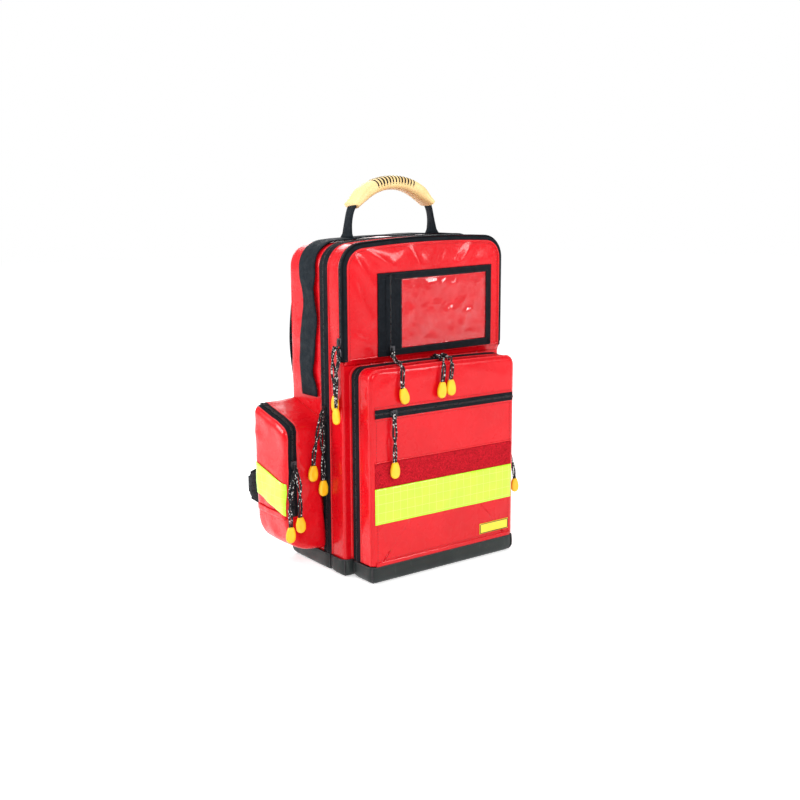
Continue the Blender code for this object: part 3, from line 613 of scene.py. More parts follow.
def rounding(front, radius, count=5):
    """Stations round an edge, from where it leaves the side to where it meets the face at depth front."""
    sign = 1 if radius > 0 else -1
    size = abs(radius)
    return [
        (size * (1 - math.cos(a)), front + sign * size * (1 - math.sin(a)))
        for a in (math.pi / 2 * n / count for n in range(count + 1))
    ]


def welt(name, flat, y, inset, radius, body):
    """A cord sewn in along an outline at depth y."""
    return seat(tube([p for p, _ in railed(flat, y, 0.004, inset=inset)], radius).made(name, WELT_PAINTED_HIGHLIGHT), body)


def seam(name, flat, y, body):
    """Stitching along an outline at depth y."""
    return seat(stitches(railed(flat, y, 0.004, inset=-0.0001)).made(name, RED_THREAD), body)


def fold_strip(name, look, half, size, section, a, b, start, end):
    """Fabric across the pack at a hinge. Its section is (y, z) places; start and end, also (y, z) places, are not
    used.
    """
    rows = [[Vector((x, y, z)) for x in steps(-half, half, size)] for y, z in section]
    return bridge(Shape().grid(rows).made(name, look, FOLDED), a, b, (0, *start), (0, *end))


CASING = (PACK_HALF, PACK_LOW, PACK_TOP, PACK_LOW_RADIUS, PACK_RADIUS, PACK_SLOPE)
POCKET_CASING = (POCKET_HALF, PACK_LOW, POCKET_TOP, 0.004, 0.014, 1.5)
OVER_BOOT = BOOT_TOP + 0.0006
PACK, PACK_OVER, PACK_UPPER = outline(*CASING), outline(*CASING, OVER_BOOT), outline(*CASING, FLAP_LOW)
POCKET, POCKET_OVER = outline(*POCKET_CASING), outline(*POCKET_CASING, OVER_BOOT)

# ---------------------------------------------------------------- how far each panel stands out


def edge_distance(x, z, half, top, radius, bottom=-1.0):
    """How far inside a panel with rounded top corners a point is."""
    qx, qz = abs(x) - (half - radius), z - (top - radius)
    corner = math.hypot(max(qx, 0.0), max(qz, 0.0)) + min(max(qx, qz), 0.0) - radius
    return min(-corner, z - bottom)


FOLDS = (  # from, to, half width, height: soft folds in the window flap
    ((-0.128, 0.452), (-0.092, 0.405), 0.0060, 0.0026),
    ((-0.112, 0.462), (-0.060, 0.430), 0.0050, 0.0020),
    ((-0.132, 0.420), (-0.098, 0.360), 0.0075, 0.0024),
    ((-0.030, 0.462), (-0.012, 0.426), 0.0060, 0.0018),
    ((0.030, 0.460), (0.014, 0.428), 0.0060, -0.0014),
    ((0.085, 0.458), (0.060, 0.428), 0.0065, 0.0016),
    ((0.134, 0.420), (0.124, 0.350), 0.0060, 0.0016),
    ((-0.134, 0.350), (-0.092, 0.318), 0.0060, 0.0016),
)


def fold(x, z, folds):
    total = 0.0
    here = Vector((x, z))
    for start, end, width, height in folds:
        a, b = Vector(start), Vector(end)
        t = min(max((here - a).dot(b - a) / (b - a).length_squared, 0.0), 1.0)
        away = (here - a.lerp(b, t)).length / width
        total += height * math.exp(-away * away)
    return total


def flap_lift(p):
    inside = edge_distance(p[0], p[2], PACK_HALF, PACK_CROWN - 0.001, PACK_RADIUS, FLAP_LOW)
    if p[1] > FLAP_FRONT + 0.0045:
        return 0.0
    beside = max(abs(p[0] - 0.0165) - 0.1025, abs(p[2] - 0.365) - 0.058)
    soft = ease(inside - 0.004, 0.022) * (0.25 + 0.75 * ease(beside + 0.002, 0.012))
    rough = 0.0010 * crease(p, 0.055, 3.1) + 0.0006 * ruffle(p, 0.025, 7.0)
    return soft * (0.0012 * ease(inside, 0.05) + rough + fold(p[0], p[2], FOLDS))


POCKET_FOLDS = (
    ((-0.122, 0.262), (-0.085, 0.286), 0.0060, 0.0014),
    ((-0.060, 0.280), (-0.020, 0.284), 0.0050, 0.0009),
    ((0.040, 0.284), (0.110, 0.268), 0.0070, 0.0010),
    ((0.020, 0.060), (0.120, 0.072), 0.0090, 0.0010),
)


def cover_lift(p):
    inside = edge_distance(p[0], p[2], POCKET_HALF, POCKET_TOP + 0.0013, 0.014, BOOT_TOP)
    if p[1] > POCKET_FRONT + 0.012:
        return 0.0009 * crease(p, 0.045, 5.0) * ease(-0.066 - p[1], 0.008)
    soft = ease(inside, 0.020)
    full = 0.0004 + 0.0005 * ease(p[0] + 0.02, 0.06) * ease(0.125 - p[2], 0.02)
    rough = 0.0005 * crease(p, 0.060, 9.0) + 0.0004 * ruffle(p, 0.028, 4.0) - 0.0002
    return soft * (full * ease(inside, 0.05) + rough + fold(p[0], p[2], POCKET_FOLDS))


def main_lift(p):
    held = ease(p[1] - SHELL_FRONT, 0.010) * ease(p[2] - 0.026, 0.02)
    beside_pocket = 1.0 - 0.85 * ease(0.250 - p[2], 0.01) * ease(abs(p[0]) - 0.13, 0.005)
    if p[1] > SHELL_BACK - 0.004:
        held *= 0.0
    rough = 0.0016 * crease(p, 0.075, 1.7) + 0.0009 * ruffle(p, 0.035, 2.2)
    return held * beside_pocket * max(rough, -0.0010)


def lid_lift(p):
    held = ease(LID_BACK - p[1], 0.006) * ease(p[1] - LID_FRONT - 0.001, 0.006) * ease(p[2] - 0.026, 0.02)
    return held * (0.0011 * crease(p, 0.060, 6.2) + 0.0005 * ruffle(p, 0.03, 8.0))


def side_lift(p):
    soft = ease(p[2] - 0.034, 0.02) * ease(abs(p[0]) - 0.146, 0.012)
    return soft * (0.0015 * crease(p, 0.050, 12.0) + 0.0006 * ruffle(p, 0.025, 4.4) - 0.0006)


def on_flap(x, z, height=0.0):
    return Vector((x, FLAP_FRONT - flap_lift((x, FLAP_FRONT, z)) - height, z))


def on_cover(x, z, height=0.0):
    return Vector((x, POCKET_FRONT - cover_lift((x, POCKET_FRONT, z)) - height, z))


def patch(place, x, z, height, size, profile=None):
    """A sheet that follows a front panel. profile(edge, p) adds to its height at p, edge being how far
    inside its outline that is."""
    rows = []
    for b in steps(*z, size):
        row = []
        for a in steps(*x, size):
            edge = min(a - x[0], x[1] - a, b - z[0], z[1] - b)
            row.append(place(a, b, height + (profile(edge, (a, 0.0, b)) if profile else 0.0)))
        rows.append(row)
    return Shape().grid(rows)


def thread_line(place, ends, height):
    """A rail on a front panel, straight between two (x, z) places."""
    (x0, z0), (x1, z1) = ends
    return [(place(x0 + (x1 - x0) * t, z0 + (z1 - z0) * t, height), FORWARD) for t in steps(0, 1, 0.03)]


# ---------------------------------------------------------------- zips


def teeth(name, rail, way, body, lead, height, cornered=False):
    """A row of zip teeth along a rail of (point, normal), reaching out sideways along way."""
    row = Shape()
    for here, along, out in followed(rail, resample([p for p, _ in rail], TOOTH_PITCH), cornered):
        middle = here + along * lead * TOOTH_PITCH + out * height
        rings = []
        for a, share in TOOTH:
            wide, tall = along * 0.00062 * share, out * 0.00085 * share
            rings.append([middle + way * a + wide * c + tall * s for c, s in QUARTERS])
        row.grid(rings, closed=True, end=True, start=True)
    return seat(row.made(name, TEETH), body)


def zip_half(name, rail, way, width, body, nodes=(), lead=0.0):
    """One half of a zip: its woven tape and its row of teeth. rail is (point, normal) along the middle, way
    the sideways direction of this half, and lead the shift of its teeth, as a share of their pitch."""
    raised = [(p + out * 0.0004, out) for p, out in rail]
    profile = [(0.0010, 0.0005), (0.0022, 0.0009), (0.0036, 0.0004), (width - 0.0006, 0.0003), (width, 0.0)]
    rows = [[here + way * a + out * h for a, h in profile] for here, out in raised]
    inside_out = way.cross(raised[1][0] - raised[0][0]).dot(rail[0][1]) > 0
    seat(Shape().grid(rows, flip=inside_out).made(name, TAPE, 0.0007), body, *nodes)
    return teeth(name + "_teeth", raised, way, body, lead, 0.0010)


# ---------------------------------------------------------------- main compartment


def make_main():
    body, inside = "main_compartment", 0.0027
    rail = railed(PACK, SHELL_FRONT, 0.0055, closed=True)
    stations = [(0.0, y) for y in steps(SHELL_FRONT, SHELL_BACK - 0.012, 0.006)]
    stations += rounding(SHELL_BACK, -0.012)[1:]
    rows = ringed(rail, stations)
    rows += capped(rows[-1], Vector((0, SHELL_BACK, 0.24)), [0.92, 0.82, 0.68, 0.5, 0.3, 0.1])
    skin = Shape().grid(rows, closed=True, flip=True, end=True).lift(main_lift)
    seat(skin.made("main_tarpaulin", RED, SKIN), body, "main_shell")
    within = [(inside, SHELL_FRONT + 0.0004), (inside, 0.0304), (inside, 0.0604)]
    within += [(inside + inset, y - inside + 0.0004) for inset, y in stations[-5:]]
    rows = ringed(rail, within)
    rows += capped(rows[-1], Vector((0, SHELL_BACK - inside, 0.24)), [0.8, 0.5, 0.1])
    lining = Shape().grid(rows, closed=True, flip=True, end=True)
    seat(lining.made("main_lining", LINING, LINED), body)

    rail = railed(PACK_OVER, MAIN_ZIP_Y, 0.004)
    zip_half("main_zip_back", rail, BACKWARD, 0.0095, body, ("main_zip",))
    zip_half("main_zip_front", rail, FORWARD, 0.0095, "main_lid", lead=0.5)
    welt("main_welt", PACK_OVER, 0.0102, 0.0003, 0.0011, body)
    welt("lid_back_welt", PACK_OVER, -0.0104, 0.0003, 0.0011, "main_lid")
    seam("main_stitches", PACK_OVER, 0.0140, body)
    seam("lid_stitches", PACK_OVER, -0.0142, "main_lid")
    welt("back_piping", PACK_OVER, SHELL_BACK - 0.0075, 0.0026, 0.0017, body)


def boot(name, half, front, back, body, node, rim_z=BOOT_TOP):
    """A moulded rubber tray with softly rounded lower edges and piped corners."""

    def rim(out, z):
        x, a, b, r = half + out, front - out, back + out, max(BOOT_CORNER + out, 0.0012)
        path = [
            *arc((-x + r, a + r), r, 180, 270, 5), *arc((x - r, a + r), r, 270, 360, 5),
            *arc((x - r, b - r), r, 0, 90, 5), *arc((-x + r, b - r), r, 90, 180, 5),
        ]
        return [Vector((p.x, p.y, z)) for p in resample([(u, v, 0) for u, v in path], 0.006, True)]

    levels = [
        (-0.0006, rim_z + 0.0004), (0.0, rim_z - 0.001), (0.0004, 0.018), (0.0006, 0.012),
        (0.0002, 0.0075), (-0.0012, 0.0040), (-0.0034, 0.0016), (-0.0060, 0.0003),
    ]
    count = len(rim(0.0, 0.0))
    rows = [resample(rim(out, z), None, True, count) for out, z in levels]
    rows += capped(rows[-1], Vector((0, (front + back) / 2, 0.0003)), [0.85, 0.55, 0.2])
    shape = Shape().grid(rows, closed=True, end=True, flip=True)
    shape.lift(lambda p: 0.0005 * ruffle(p, 0.03, 5.0) * ease(p.z - 0.003, 0.006))
    seat(shape.made(name, BOOT, 0.0018), body, node)
    edge = resample(rim(0.0003, rim_z - 0.0004), None, True, count)
    seat(tube(edge, 0.0010, closed=True).made(name + "_top_seam", BLACK_THREAD), body)
    pipes, rounded = Shape(), BOOT_CORNER * 0.29
    for side in (-1, 1):
        for y, inward in ((front, 1), (back, -1)):
            beside = [(out - rounded, z) for out, z in levels[:-1]]
            path = [(side * (half + out), y - inward * out, z) for out, z in beside]
            pipes.join(tube(smooth(path, 2), 0.0012))
    seat(pipes.made(name + "_piping", BLACK_THREAD), body)


# ---------------------------------------------------------------- lid


def make_lid():
    body = "main_lid"
    rail = railed(PACK, LID_BACK, 0.0055, closed=True)
    stations = [(0.0, y) for y in steps(LID_BACK, LID_FRONT + 0.003, 0.005)]
    stations += rounding(LID_FRONT, 0.003, 3)[1:]
    rows = ringed(rail, stations)
    rows += capped(rows[-1], Vector((0, LID_FRONT, 0.24)), [0.97, 0.9, 0.8, 0.65, 0.5, 0.3, 0.1])
    skin = Shape().grid(rows, closed=True, end=True).lift(lid_lift)
    open_top = Vector((0, 0, FLAP_LOW - 0.0004)), UP
    open_front = Vector((0, MID_TAPE_BACK, 0)), FORWARD
    skin.cut([open_top, open_front], lambda c: c.z < open_top[0].z or c.y > MID_TAPE_BACK)
    seat(skin.made("lid_tarpaulin", RED, SKIN), body, "mid_shell")
    rail = railed(PACK, LID_BACK, 0.012, closed=True, inset=0.0014)
    rows = ringed(rail, [(0.0, DIVIDER_Y)])
    rows += capped(rows[-1], Vector((0, DIVIDER_Y, 0.24)), [0.85, 0.6, 0.3, 0.08])
    divider = Shape().grid(rows, closed=True, end=True, flip=True)
    divider.lift(lambda p: 0.0008 * ruffle(p, 0.07, 2.0) * ease(0.135 - abs(p.x), 0.03))
    seat(divider.made("lid_divider", LINING, 0.0010), body)

    zip_half("mid_zip_back", railed(PACK_UPPER, MID_ZIP_Y, 0.004), BACKWARD, 0.0036, body, ("mid_zip",))
    seam("mid_stitches", PACK_UPPER, -0.0330, body)
    welt("mid_welt", PACK_UPPER, -0.0364, 0.0004, 0.0010, body)


def make_gusset():
    body, back = "main_lid", LID_FRONT - 0.0004
    rows = ringed(railed(POCKET_OVER, back, 0.005), [(0.0, y) for y in steps(back, -0.0500, 0.003)])
    seat(Shape().grid(rows).made("pocket_gusset", RED, SKIN), body, "front_pocket_gusset")
    rail = railed(POCKET_OVER, POCKET_ZIP_Y, 0.004)
    zip_half("pocket_zip_back", rail, BACKWARD, 0.0078, body, ("front_pocket_zip",))
    zip_half("pocket_zip_front", rail, FORWARD, 0.0078, "front_pocket_lid", lead=0.5)
    lining = ringed(railed(POCKET_OVER, LID_FRONT, 0.006, inset=0.0018), [(0.0, -0.0430), (0.0, -0.0560)])
    seat(Shape().grid(lining).made("gusset_lining", LINING, LINED), body)
    welt("gusset_welt", POCKET_OVER, LID_FRONT - 0.0012, -0.0004, 0.0013, body)
    fold_strip(
        "lid_fold", BOOT, 0.1325, 0.008,
        ((-0.0030, 0.0034), (-0.0050, 0.0036), (-0.0070, 0.0037), (-0.0090, 0.0036), (-0.0110, 0.0034)),
        "main_compartment", body, (-0.0045, 0.004), (-0.0095, 0.004),
    )


# ---------------------------------------------------------------- window flap


def make_flap():
    body = "window_flap"
    rail = railed(PACK, FLAP_BACK, 0.0042, closed=True)
    below = Vector((0, 0, FLAP_LOW + 0.0004)), UP

    def kept(c):
        return c.z > below[0].z

    edge = [(0.0, MID_ZIP_Y - 0.0006), *rounding(FLAP_FRONT - 0.0006, 0.0048)]
    band = ringed(rail, [*edge, (FLAP_INSET - 0.0002, FLAP_FRONT - 0.0006), (FLAP_INSET, FLAP_FRONT)])
    tape = Shape().grid(band, closed=True).lift(lambda p: 0.0003).cut([below], kept)
    seat(tape.made("mid_zip_front", TAPE, 0.0007), body)
    teeth_rail = railed(outline(*CASING, FLAP_LOW + 0.005), MID_ZIP_Y, 0.004)
    zip_half("mid_zip_edge", teeth_rail, FORWARD, 0.0016, body, lead=0.5)

    start, centre_z = FLAP_INSET + 0.0002, 0.385
    rows = ringed(rail, [(start, FLAP_BACK), (start, FLAP_FRONT + 0.0010), (start + 0.0005, FLAP_FRONT)])
    face = ringed(rail, [(start + 0.0022, FLAP_FRONT)])[0]
    rows += capped(face, Vector((0, FLAP_FRONT, centre_z)), [1 - 0.035 * n for n in range(27)])
    skin = Shape().grid(rows, closed=True, end=True).lift(flap_lift).cut([below], kept)
    seat(skin.made("flap_tarpaulin", RED, SKIN), body, "window_flap")
    back = FLAP_BACK + 0.0006
    rows = capped(ringed(rail, [(0.0050, back)])[0], Vector((0, back, centre_z)), [1.0, 0.7, 0.4, 0.1])
    lining = Shape().grid(rows, closed=True, end=True, flip=True).cut([below], kept)
    seat(lining.made("flap_lining", LINING, LINED), body)
    welt("flap_welt", PACK_UPPER, FLAP_FRONT - 0.0006, start + 0.0008, 0.0010, body)
    line = railed(PACK_UPPER, 0.0, 0.004, inset=start + 0.0042)
    thread = stitches([(on_flap(p.x, p.z, 0.0002), FORWARD) for p, _ in line])
    seat(thread.made("flap_stitches", RED_THREAD), body)
    fold_strip(
        "flap_fold", RED, 0.1385, 0.006,
        ((-0.0432, 0.2985), (-0.0440, 0.3015), (-0.0458, 0.3040), (-0.0472, 0.3060), (-0.0482, 0.3090)),
        "main_lid", body, (-0.044, 0.3030), (-0.044, 0.3070),
    )


def make_window():
    body = "window_flap"
    low, high = WINDOW_Z
    left, right = WINDOW_X
    slit = 0.0052  # from the middle of the window's zip to the tapes beside it
    tapes = (
        ("window_bar_left", (left, WINDOW_ZIP_X - slit), (low, high), 0.0016, ("window_frame",)),
        ("window_bar_right", (WINDOW_ZIP_X + slit, WINDOW_BAR_X), (low, high), 0.0016, ()),
        ("window_top", (left, right), (high - 0.010, high + 0.0004), 0.0019, ()),
        ("window_bottom", (left, right), (low, low + 0.010), 0.0019, ()),
        ("window_right", (right - 0.010, right + 0.0004), (low, high), 0.0019, ()),
    )
    for name, x, z, height, nodes in tapes:
        size = 0.0012 if min(x[1] - x[0], z[1] - z[0]) < 0.013 else 0.003
        shape = patch(on_flap, x, z, height, size, lambda edge, p: -0.0006 * (1 - ease(edge, 0.0012)))
        seat(shape.made(name, TAPE, 0.0014), body, *nodes)
    upright = (
        (left + 0.0015, 0.002), (WINDOW_BAR_X - 0.0016, 0.009), (WINDOW_ZIP_X - 0.0075, 0.009),
        (WINDOW_ZIP_X + 0.0075, 0.009), (right - 0.0085, 0.009), (right - 0.0014, 0.002),
    )
    level = ((high - 0.0014, 0.002), (high - 0.0085, 0.008), (low + 0.0014, 0.002), (low + 0.0085, 0.008))
    lines = [((x, low + short), (x, high - short)) for x, short in upright]
    lines += [((left + short, z), (right - short, z)) for z, short in level]
    thread = Shape()
    for ends in lines:
        thread.join(stitches(thread_line(on_flap, ends, 0.0021), 0.0036, 0.0022, 0.0003))
    seat(thread.made("window_stitches", BLACK_THREAD), body)
    rail = [(on_flap(WINDOW_ZIP_X, z, 0.0012), FORWARD) for z in steps(low + 0.004, high - 0.004, 0.004)]
    zip_half("window_zip_left", rail, LEFT, 0.0075, body, ("window_zip",))
    zip_half("window_zip_right", rail, RIGHT, 0.0075, body, lead=0.5)

    def crumple(edge, p):
        rough = 0.0011 * crease(p, 0.040, 15.0) + 0.0006 * crease(p, 0.017, 21.0)
        return ease(edge, 0.012) * (rough + 0.0006)

    opening = (WINDOW_BAR_X - 0.001, right - 0.009), (low + 0.009, high - 0.009)
    sheet = patch(on_flap, *opening, 0.0008, 0.0025, crumple)
    clear = seat(sheet.made("window_clear", FILM, 0.0003), "window_flap", "window_film")


# ---------------------------------------------------------------- front pocket


def make_cover():
    body, back, centre_z = "front_pocket_lid", -0.0605, 0.155
    rail = railed(POCKET, back, 0.0045, closed=True)
    stations = [(0.0, y) for y in steps(back, POCKET_FRONT + 0.007, 0.004)]
    stations += rounding(POCKET_FRONT, 0.007, 6)[1:]
    rows = ringed(rail, stations)
    rows += capped(rows[-1], Vector((0, POCKET_FRONT, centre_z)), [1 - 0.036 * n for n in range(1, 27)])
    below = Vector((0, 0, OVER_BOOT)), UP
    skin = Shape().grid(rows, closed=True, end=True).lift(cover_lift)
    skin.cut([below], lambda c: c.z > below[0].z)
    seat(skin.made("pocket_tarpaulin", RED, SKIN), body, "front_pocket_cover")
    rail = railed(POCKET_OVER, -0.0610, 0.006, inset=0.0018)
    within = [(0.0, -0.0610), (0.0, POCKET_FRONT + 0.009)]
    within += [(0.003, POCKET_FRONT + 0.0030), (0.008, POCKET_FRONT + 0.0016)]
    seat(Shape().grid(ringed(rail, within)).made("pocket_side_lining", LINING, 0.0005), body)
    behind = POCKET_FRONT + 0.0017
    flat = patch(lambda x, z, h: Vector((x, behind, z)), (-0.1215, 0.1215), (0.027, 0.288), 0.0, 0.02)
    seat(flat.made("pocket_lining", LINING, 0.0005), body)
    welt("pocket_piping", POCKET_OVER, POCKET_FRONT + 0.0050, 0.0002, 0.0012, body)
    seam("pocket_stitches", POCKET_OVER, -0.0672, body)
    welt("pocket_welt", POCKET_OVER, -0.0645, 0.0003, 0.0010, body)
    fold_strip(
        "pocket_fold", RED, 0.1225, 0.006,
        ((-0.0930, 0.0228), (-0.0933, 0.0244), (-0.0931, 0.0260), (-0.0926, 0.0285), (-0.0923, 0.0310)),
        "main_lid", body, (-0.092, 0.0235), (-0.092, 0.0275),
    )


def across_cover(z, height, half=TRIM_HALF):
    return [on_cover(x, z, height) for x in steps(-half, half, 0.004)]


def make_cover_trims():
    body = "front_pocket_lid"
    rail = [(p, FORWARD) for p in across_cover(FLAT_ZIP_Z, 0.0003)]
    zip_half("flat_zip_upper", rail, UP, 0.0058, body, ("flat_pocket_zip",))
    zip_half("flat_zip_lower", rail, DOWN, 0.0058, body, lead=0.5)
    for name, z in (("flat_welt_upper", FLAT_ZIP_Z + 0.0066), ("flat_welt_lower", FLAT_ZIP_Z - 0.0066)):
        seat(tube(across_cover(z, 0.0003), 0.0009).made(name, WELT_PAINTED_HIGHLIGHT), body)
    thread = Shape()
    for ends in (
        ((-0.122, FLAT_ZIP_Z + 0.0095), (0.122, FLAT_ZIP_Z + 0.0095)),
        ((-0.122, FLAT_ZIP_Z - 0.0095), (0.122, FLAT_ZIP_Z - 0.0095)),
        ((-0.1195, 0.034), (-0.1195, 0.080)),
        ((0.1195, 0.034), (0.1195, 0.080)),
        ((-0.1205, 0.172), (-0.1205, 0.226)),
        ((0.1205, 0.172), (0.1205, 0.226)),
        ((-0.118, 0.033), (0.118, 0.033)),
    ):
        thread.join(stitches(thread_line(on_cover, ends, 0.0002)))
    seat(thread.made("cover_stitches", RED_THREAD), body)

    def pile(edge, p):
        return 0.00042 * ruffle(p, 0.0017, 3.0) - 0.0007 * (1 - ease(edge, 0.0020))

    def welds(edge, p):
        return -0.0004 * (1 - ease(edge, 0.0012)) + 0.00015 * ruffle(p, 0.02, 6.0)

    def bevel(edge, p):
        return -0.0005 * (1 - ease(edge, 0.0010))

    shape = patch(on_cover, (-TRIM_HALF, TRIM_HALF), LOOP_Z, 0.0013, 0.0013, pile)
    seat(shape.made("loop_tape", LOOP, 0.0012), body, "loop_strip")
    seat(tube(across_cover(LOOP_Z[1] + 0.0012, 0.0002), 0.0009).made("loop_hem", WELT_PAINTED_HIGHLIGHT), body)
    shape = patch(on_cover, (-TRIM_HALF, TRIM_HALF), BAND_Z, 0.0012, 0.0025, welds)
    seat(shape.made("reflective_tape", LIME, 0.0010), body, "reflective_band")
    thread = Shape()
    for z in (BAND_Z[0] + 0.0022, BAND_Z[1] - 0.0022):
        rail = [(p, FORWARD) for p in across_cover(z, 0.0013, 0.122)]
        thread.join(stitches(rail, 0.004, 0.0024, 0.0003))
    seat(thread.made("band_stitches", LIME), body)
    shape = patch(on_cover, PLATE_X, PLATE_Z, 0.0012, 0.001, bevel)
    seat(shape.made("label_plate", PLATE, 0.0010), body, "name_plate")
    (x0, x1), (z0, z1) = [(low + 0.0012, high - 0.0012) for low, high in (PLATE_X, PLATE_Z)]
    corners = [on_cover(x, z, 0.0013) for x, z in ((x0, z0), (x1, z0), (x1, z1), (x0, z1))]
    border = tube(resample(corners, 0.002, closed=True), 0.00055, 6, closed=True)
    seat(border.made("label_border", INK), body)


# ---------------------------------------------------------------- side pockets


def pocket_section(t):
    """The side pocket's outline in (outwards, height) at share t from its front to its back."""
    top = 0.217 + 0.024 * t
    corners = [
        (SIDE_INNER - 0.001, 0.030, 0.0), (0.172, 0.0325, 0.010), (0.1985, 0.044, 0.014),
        (SIDE_OUTER + 0.0008, 0.092, 0.030), (SIDE_OUTER, top - 0.004, 0.016), (SIDE_INNER - 0.001, top, 0.0),
    ]
    points = []
    for n, (x, z, radius) in enumerate(corners):
        here = Vector((x, z))
        if not radius:
            points.append(here)
            continue
        before, after = Vector(corners[n - 1][:2]), Vector(corners[n + 1][:2])
        a = here + (before - here).normalized() * min(radius, (before - here).length * 0.48)
        b = here + (after - here).normalized() * min(radius, (after - here).length * 0.48)
        for k in range(7):
            s = k / 6
            points.append(a.lerp(here, s).lerp(here.lerp(b, s), s))
    return points


def side_shape(side):
    """The whole side pocket as one soft closed form against the pack's side."""
    rows = []
    for depth, inward in ((0.0, 0.0085), (0.0010, 0.0050), (0.0032, 0.0020), (0.0068, 0.0004), (0.0100, 0.0)):
        rows.append((SIDE_FRONT + depth, inward))
    for y in steps(SIDE_FRONT + 0.016, SIDE_BACK - 0.016, 0.006):
        rows.append((y, 0.0))
    for depth, inward in ((0.0100, 0.0), (0.0068, 0.0006), (0.0032, 0.0024), (0.0010, 0.0055), (0.0, 0.0095)):
        rows.append((SIDE_BACK - depth, inward))
    count = 96
    made = []
    for y, inward in rows:
        t = (y - SIDE_FRONT) / (SIDE_BACK - SIDE_FRONT)
        section = pocket_section(t)
        middle = Vector((0.170, 0.125))
        line = resample([(p.x, 0.0, p.y) for p in section], 0.001)
        picked = [line[round(k * (len(line) - 1) / (count - 1))] for k in range(count)]
        row = []
        for p in picked:
            flat = Vector((p.x, p.z))
            away = flat - middle
            shrink = inward / max(away.length, 1e-6)
            swell = 0.0006 * math.sin(math.pi * min(max(t, 0.0), 1.0)) * ease(p.x - 0.150, 0.04)
            if p.x < SIDE_INNER + 0.0005:
                place = flat + Vector((0.0, -away.y * shrink))
            else:
                place = flat - away * shrink + away.normalized() * swell
            row.append(Vector((side * place.x, y, place.y)))
        made.append(row)
    front, back = made[0], made[-1]
    ends = [
        capped(front, Vector((side * 0.150, SIDE_FRONT - 0.0010, 0.125)), [0.15, 0.4, 0.62, 0.8, 0.92]),
        capped(back, Vector((side * 0.150, SIDE_BACK + 0.0004, 0.130)), [0.92, 0.8, 0.62, 0.4, 0.15]),
    ]
    rows = [*ends[0], *made, *ends[1]]
    return Shape().grid(rows, flip=side > 0, end=True, start=True).lift(side_lift)


def make_side(label, side):
    root, cover = "main_compartment", "side_cover_" + label
    zip_in, zip_out, gap = SIDE_ZIP_X - 0.0070, SIDE_ZIP_X + 0.0070, 0.0003
    planes = [(Vector((side * x, 0, 0)), RIGHT) for x in (zip_in, zip_out, SIDE_ZIP_X)]
    planes.append((Vector((0, 0, SIDE_SPLIT)), UP))
    pieces = (
        ("side_tub_", RED, root, ["side_pocket_" + label], lambda x, above: not above or x < zip_in),
        ("side_tape_in_", TAPE, root, ["side_zip_" + label],
         lambda x, above: above and zip_in < x < SIDE_ZIP_X - gap),
        ("side_tape_out_", TAPE, cover, [], lambda x, above: above and SIDE_ZIP_X + gap < x < zip_out),
        ("side_lid_", RED, cover, ["side_cover_" + label], lambda x, above: above and x > zip_out),
    )
    for name, look, body, nodes, keep in pieces:
        shape = side_shape(side).cut(planes, lambda c: keep(side * c.x, c.z > SIDE_SPLIT))
        seat(shape.made(name + label, look, SKIN), body, *nodes)
    rail = side_rail(side, SIDE_ZIP_X)
    teeth("side_zip_in_" + label, rail, LEFT * side, root, 0.0, 0.0009, True)
    teeth("side_zip_out_" + label, rail, RIGHT * side, cover, 0.5, 0.0009, True)
    beside = 0.0004
    for name, x, body in (("in_", zip_in - beside, root), ("out_", zip_out + beside, cover)):
        points = [p - n * 0.0003 for p, n in side_rail(side, x)]
        seat(tube(points, 0.0009).made("side_welt_" + name + label, WELT_PAINTED_HIGHLIGHT), body)
    seat(stitches(side_rail(side, zip_in - 0.0040)).made("side_stitches_" + label, RED_THREAD), root)

    rows = []
    for v in steps(0, 1, 0.06):
        row = []
        for u in steps(0, 1, 0.05):
            y = SIDE_FRONT + 0.0030 + u * (SIDE_BACK - SIDE_FRONT - 0.0105)
            z = SIDE_SPLIT + 0.002 + 0.019 * u + 0.045 * v
            row.append(side_surface(side, y, z, 0.0009))
        rows.append(row)
    band = Shape().grid(rows, flip=side > 0)
    seat(band.made("side_tape_" + label, LIME, 0.0008), cover, "side_band_" + label)

    depths = steps(SIDE_FRONT + 0.004, SIDE_BACK - 0.004, 0.006)
    heights = (0.0815, 0.0840, 0.0860, 0.0880, 0.0905)
    rows = [[side_surface(side, y, z, 0.0006) for y in depths] for z in heights]
    strip = Shape().grid(rows, flip=side > 0).made("side_fold_" + label, RED, FOLDED)
    x = side * SIDE_OUTER
    bridge(strip, root, cover, (x, 0, 0.0840), (x, 0, 0.0880))


SIDE_TREES = {}


def side_tree(side):
    if side not in SIDE_TREES:
        shape = side_shape(side)
        SIDE_TREES[side] = BVHTree.FromPolygons(shape.points, shape.faces)
    return SIDE_TREES[side]


def side_surface(side, y, z, height):
    """The point of the side pocket's outer face at that depth and height, standing out by height."""
    hit, normal, _, _ = side_tree(side).ray_cast(Vector((side * 0.3, y, z)), Vector((-side, 0, 0)))
    if hit is None:
        return Vector((side * (SIDE_OUTER + height), y, z))
    if normal.x * side < 0:
        normal = -normal
    return hit + normal * height


def side_rail(side, x):
    """Up the front of the side pocket and over its top, at one distance outwards."""
    tree = side_tree(side)
    rail = []
    for z in steps(SIDE_SPLIT + 0.001, 0.2130, 0.003):
        hit, normal, _, _ = tree.ray_cast(Vector((side * x, -0.1, z)), BACKWARD)
        if hit:
            rail.append((hit, normal if normal.y < 0 else -normal))
    for y in steps(SIDE_FRONT + 0.002, SIDE_BACK - 0.004, 0.003):
        hit, normal, _, _ = tree.ray_cast(Vector((side * x, y, 0.4)), DOWN)
        if hit:
            rail.append((hit, normal if normal.z > 0 else -normal))
    points = resample([p for p, _ in rail], 0.003)
    result = []
    for p in points:
        result.append((p, min(rail, key=lambda entry: (entry[0] - p).length)[1]))
    return result


# ---------------------------------------------------------------- carry strap and handle


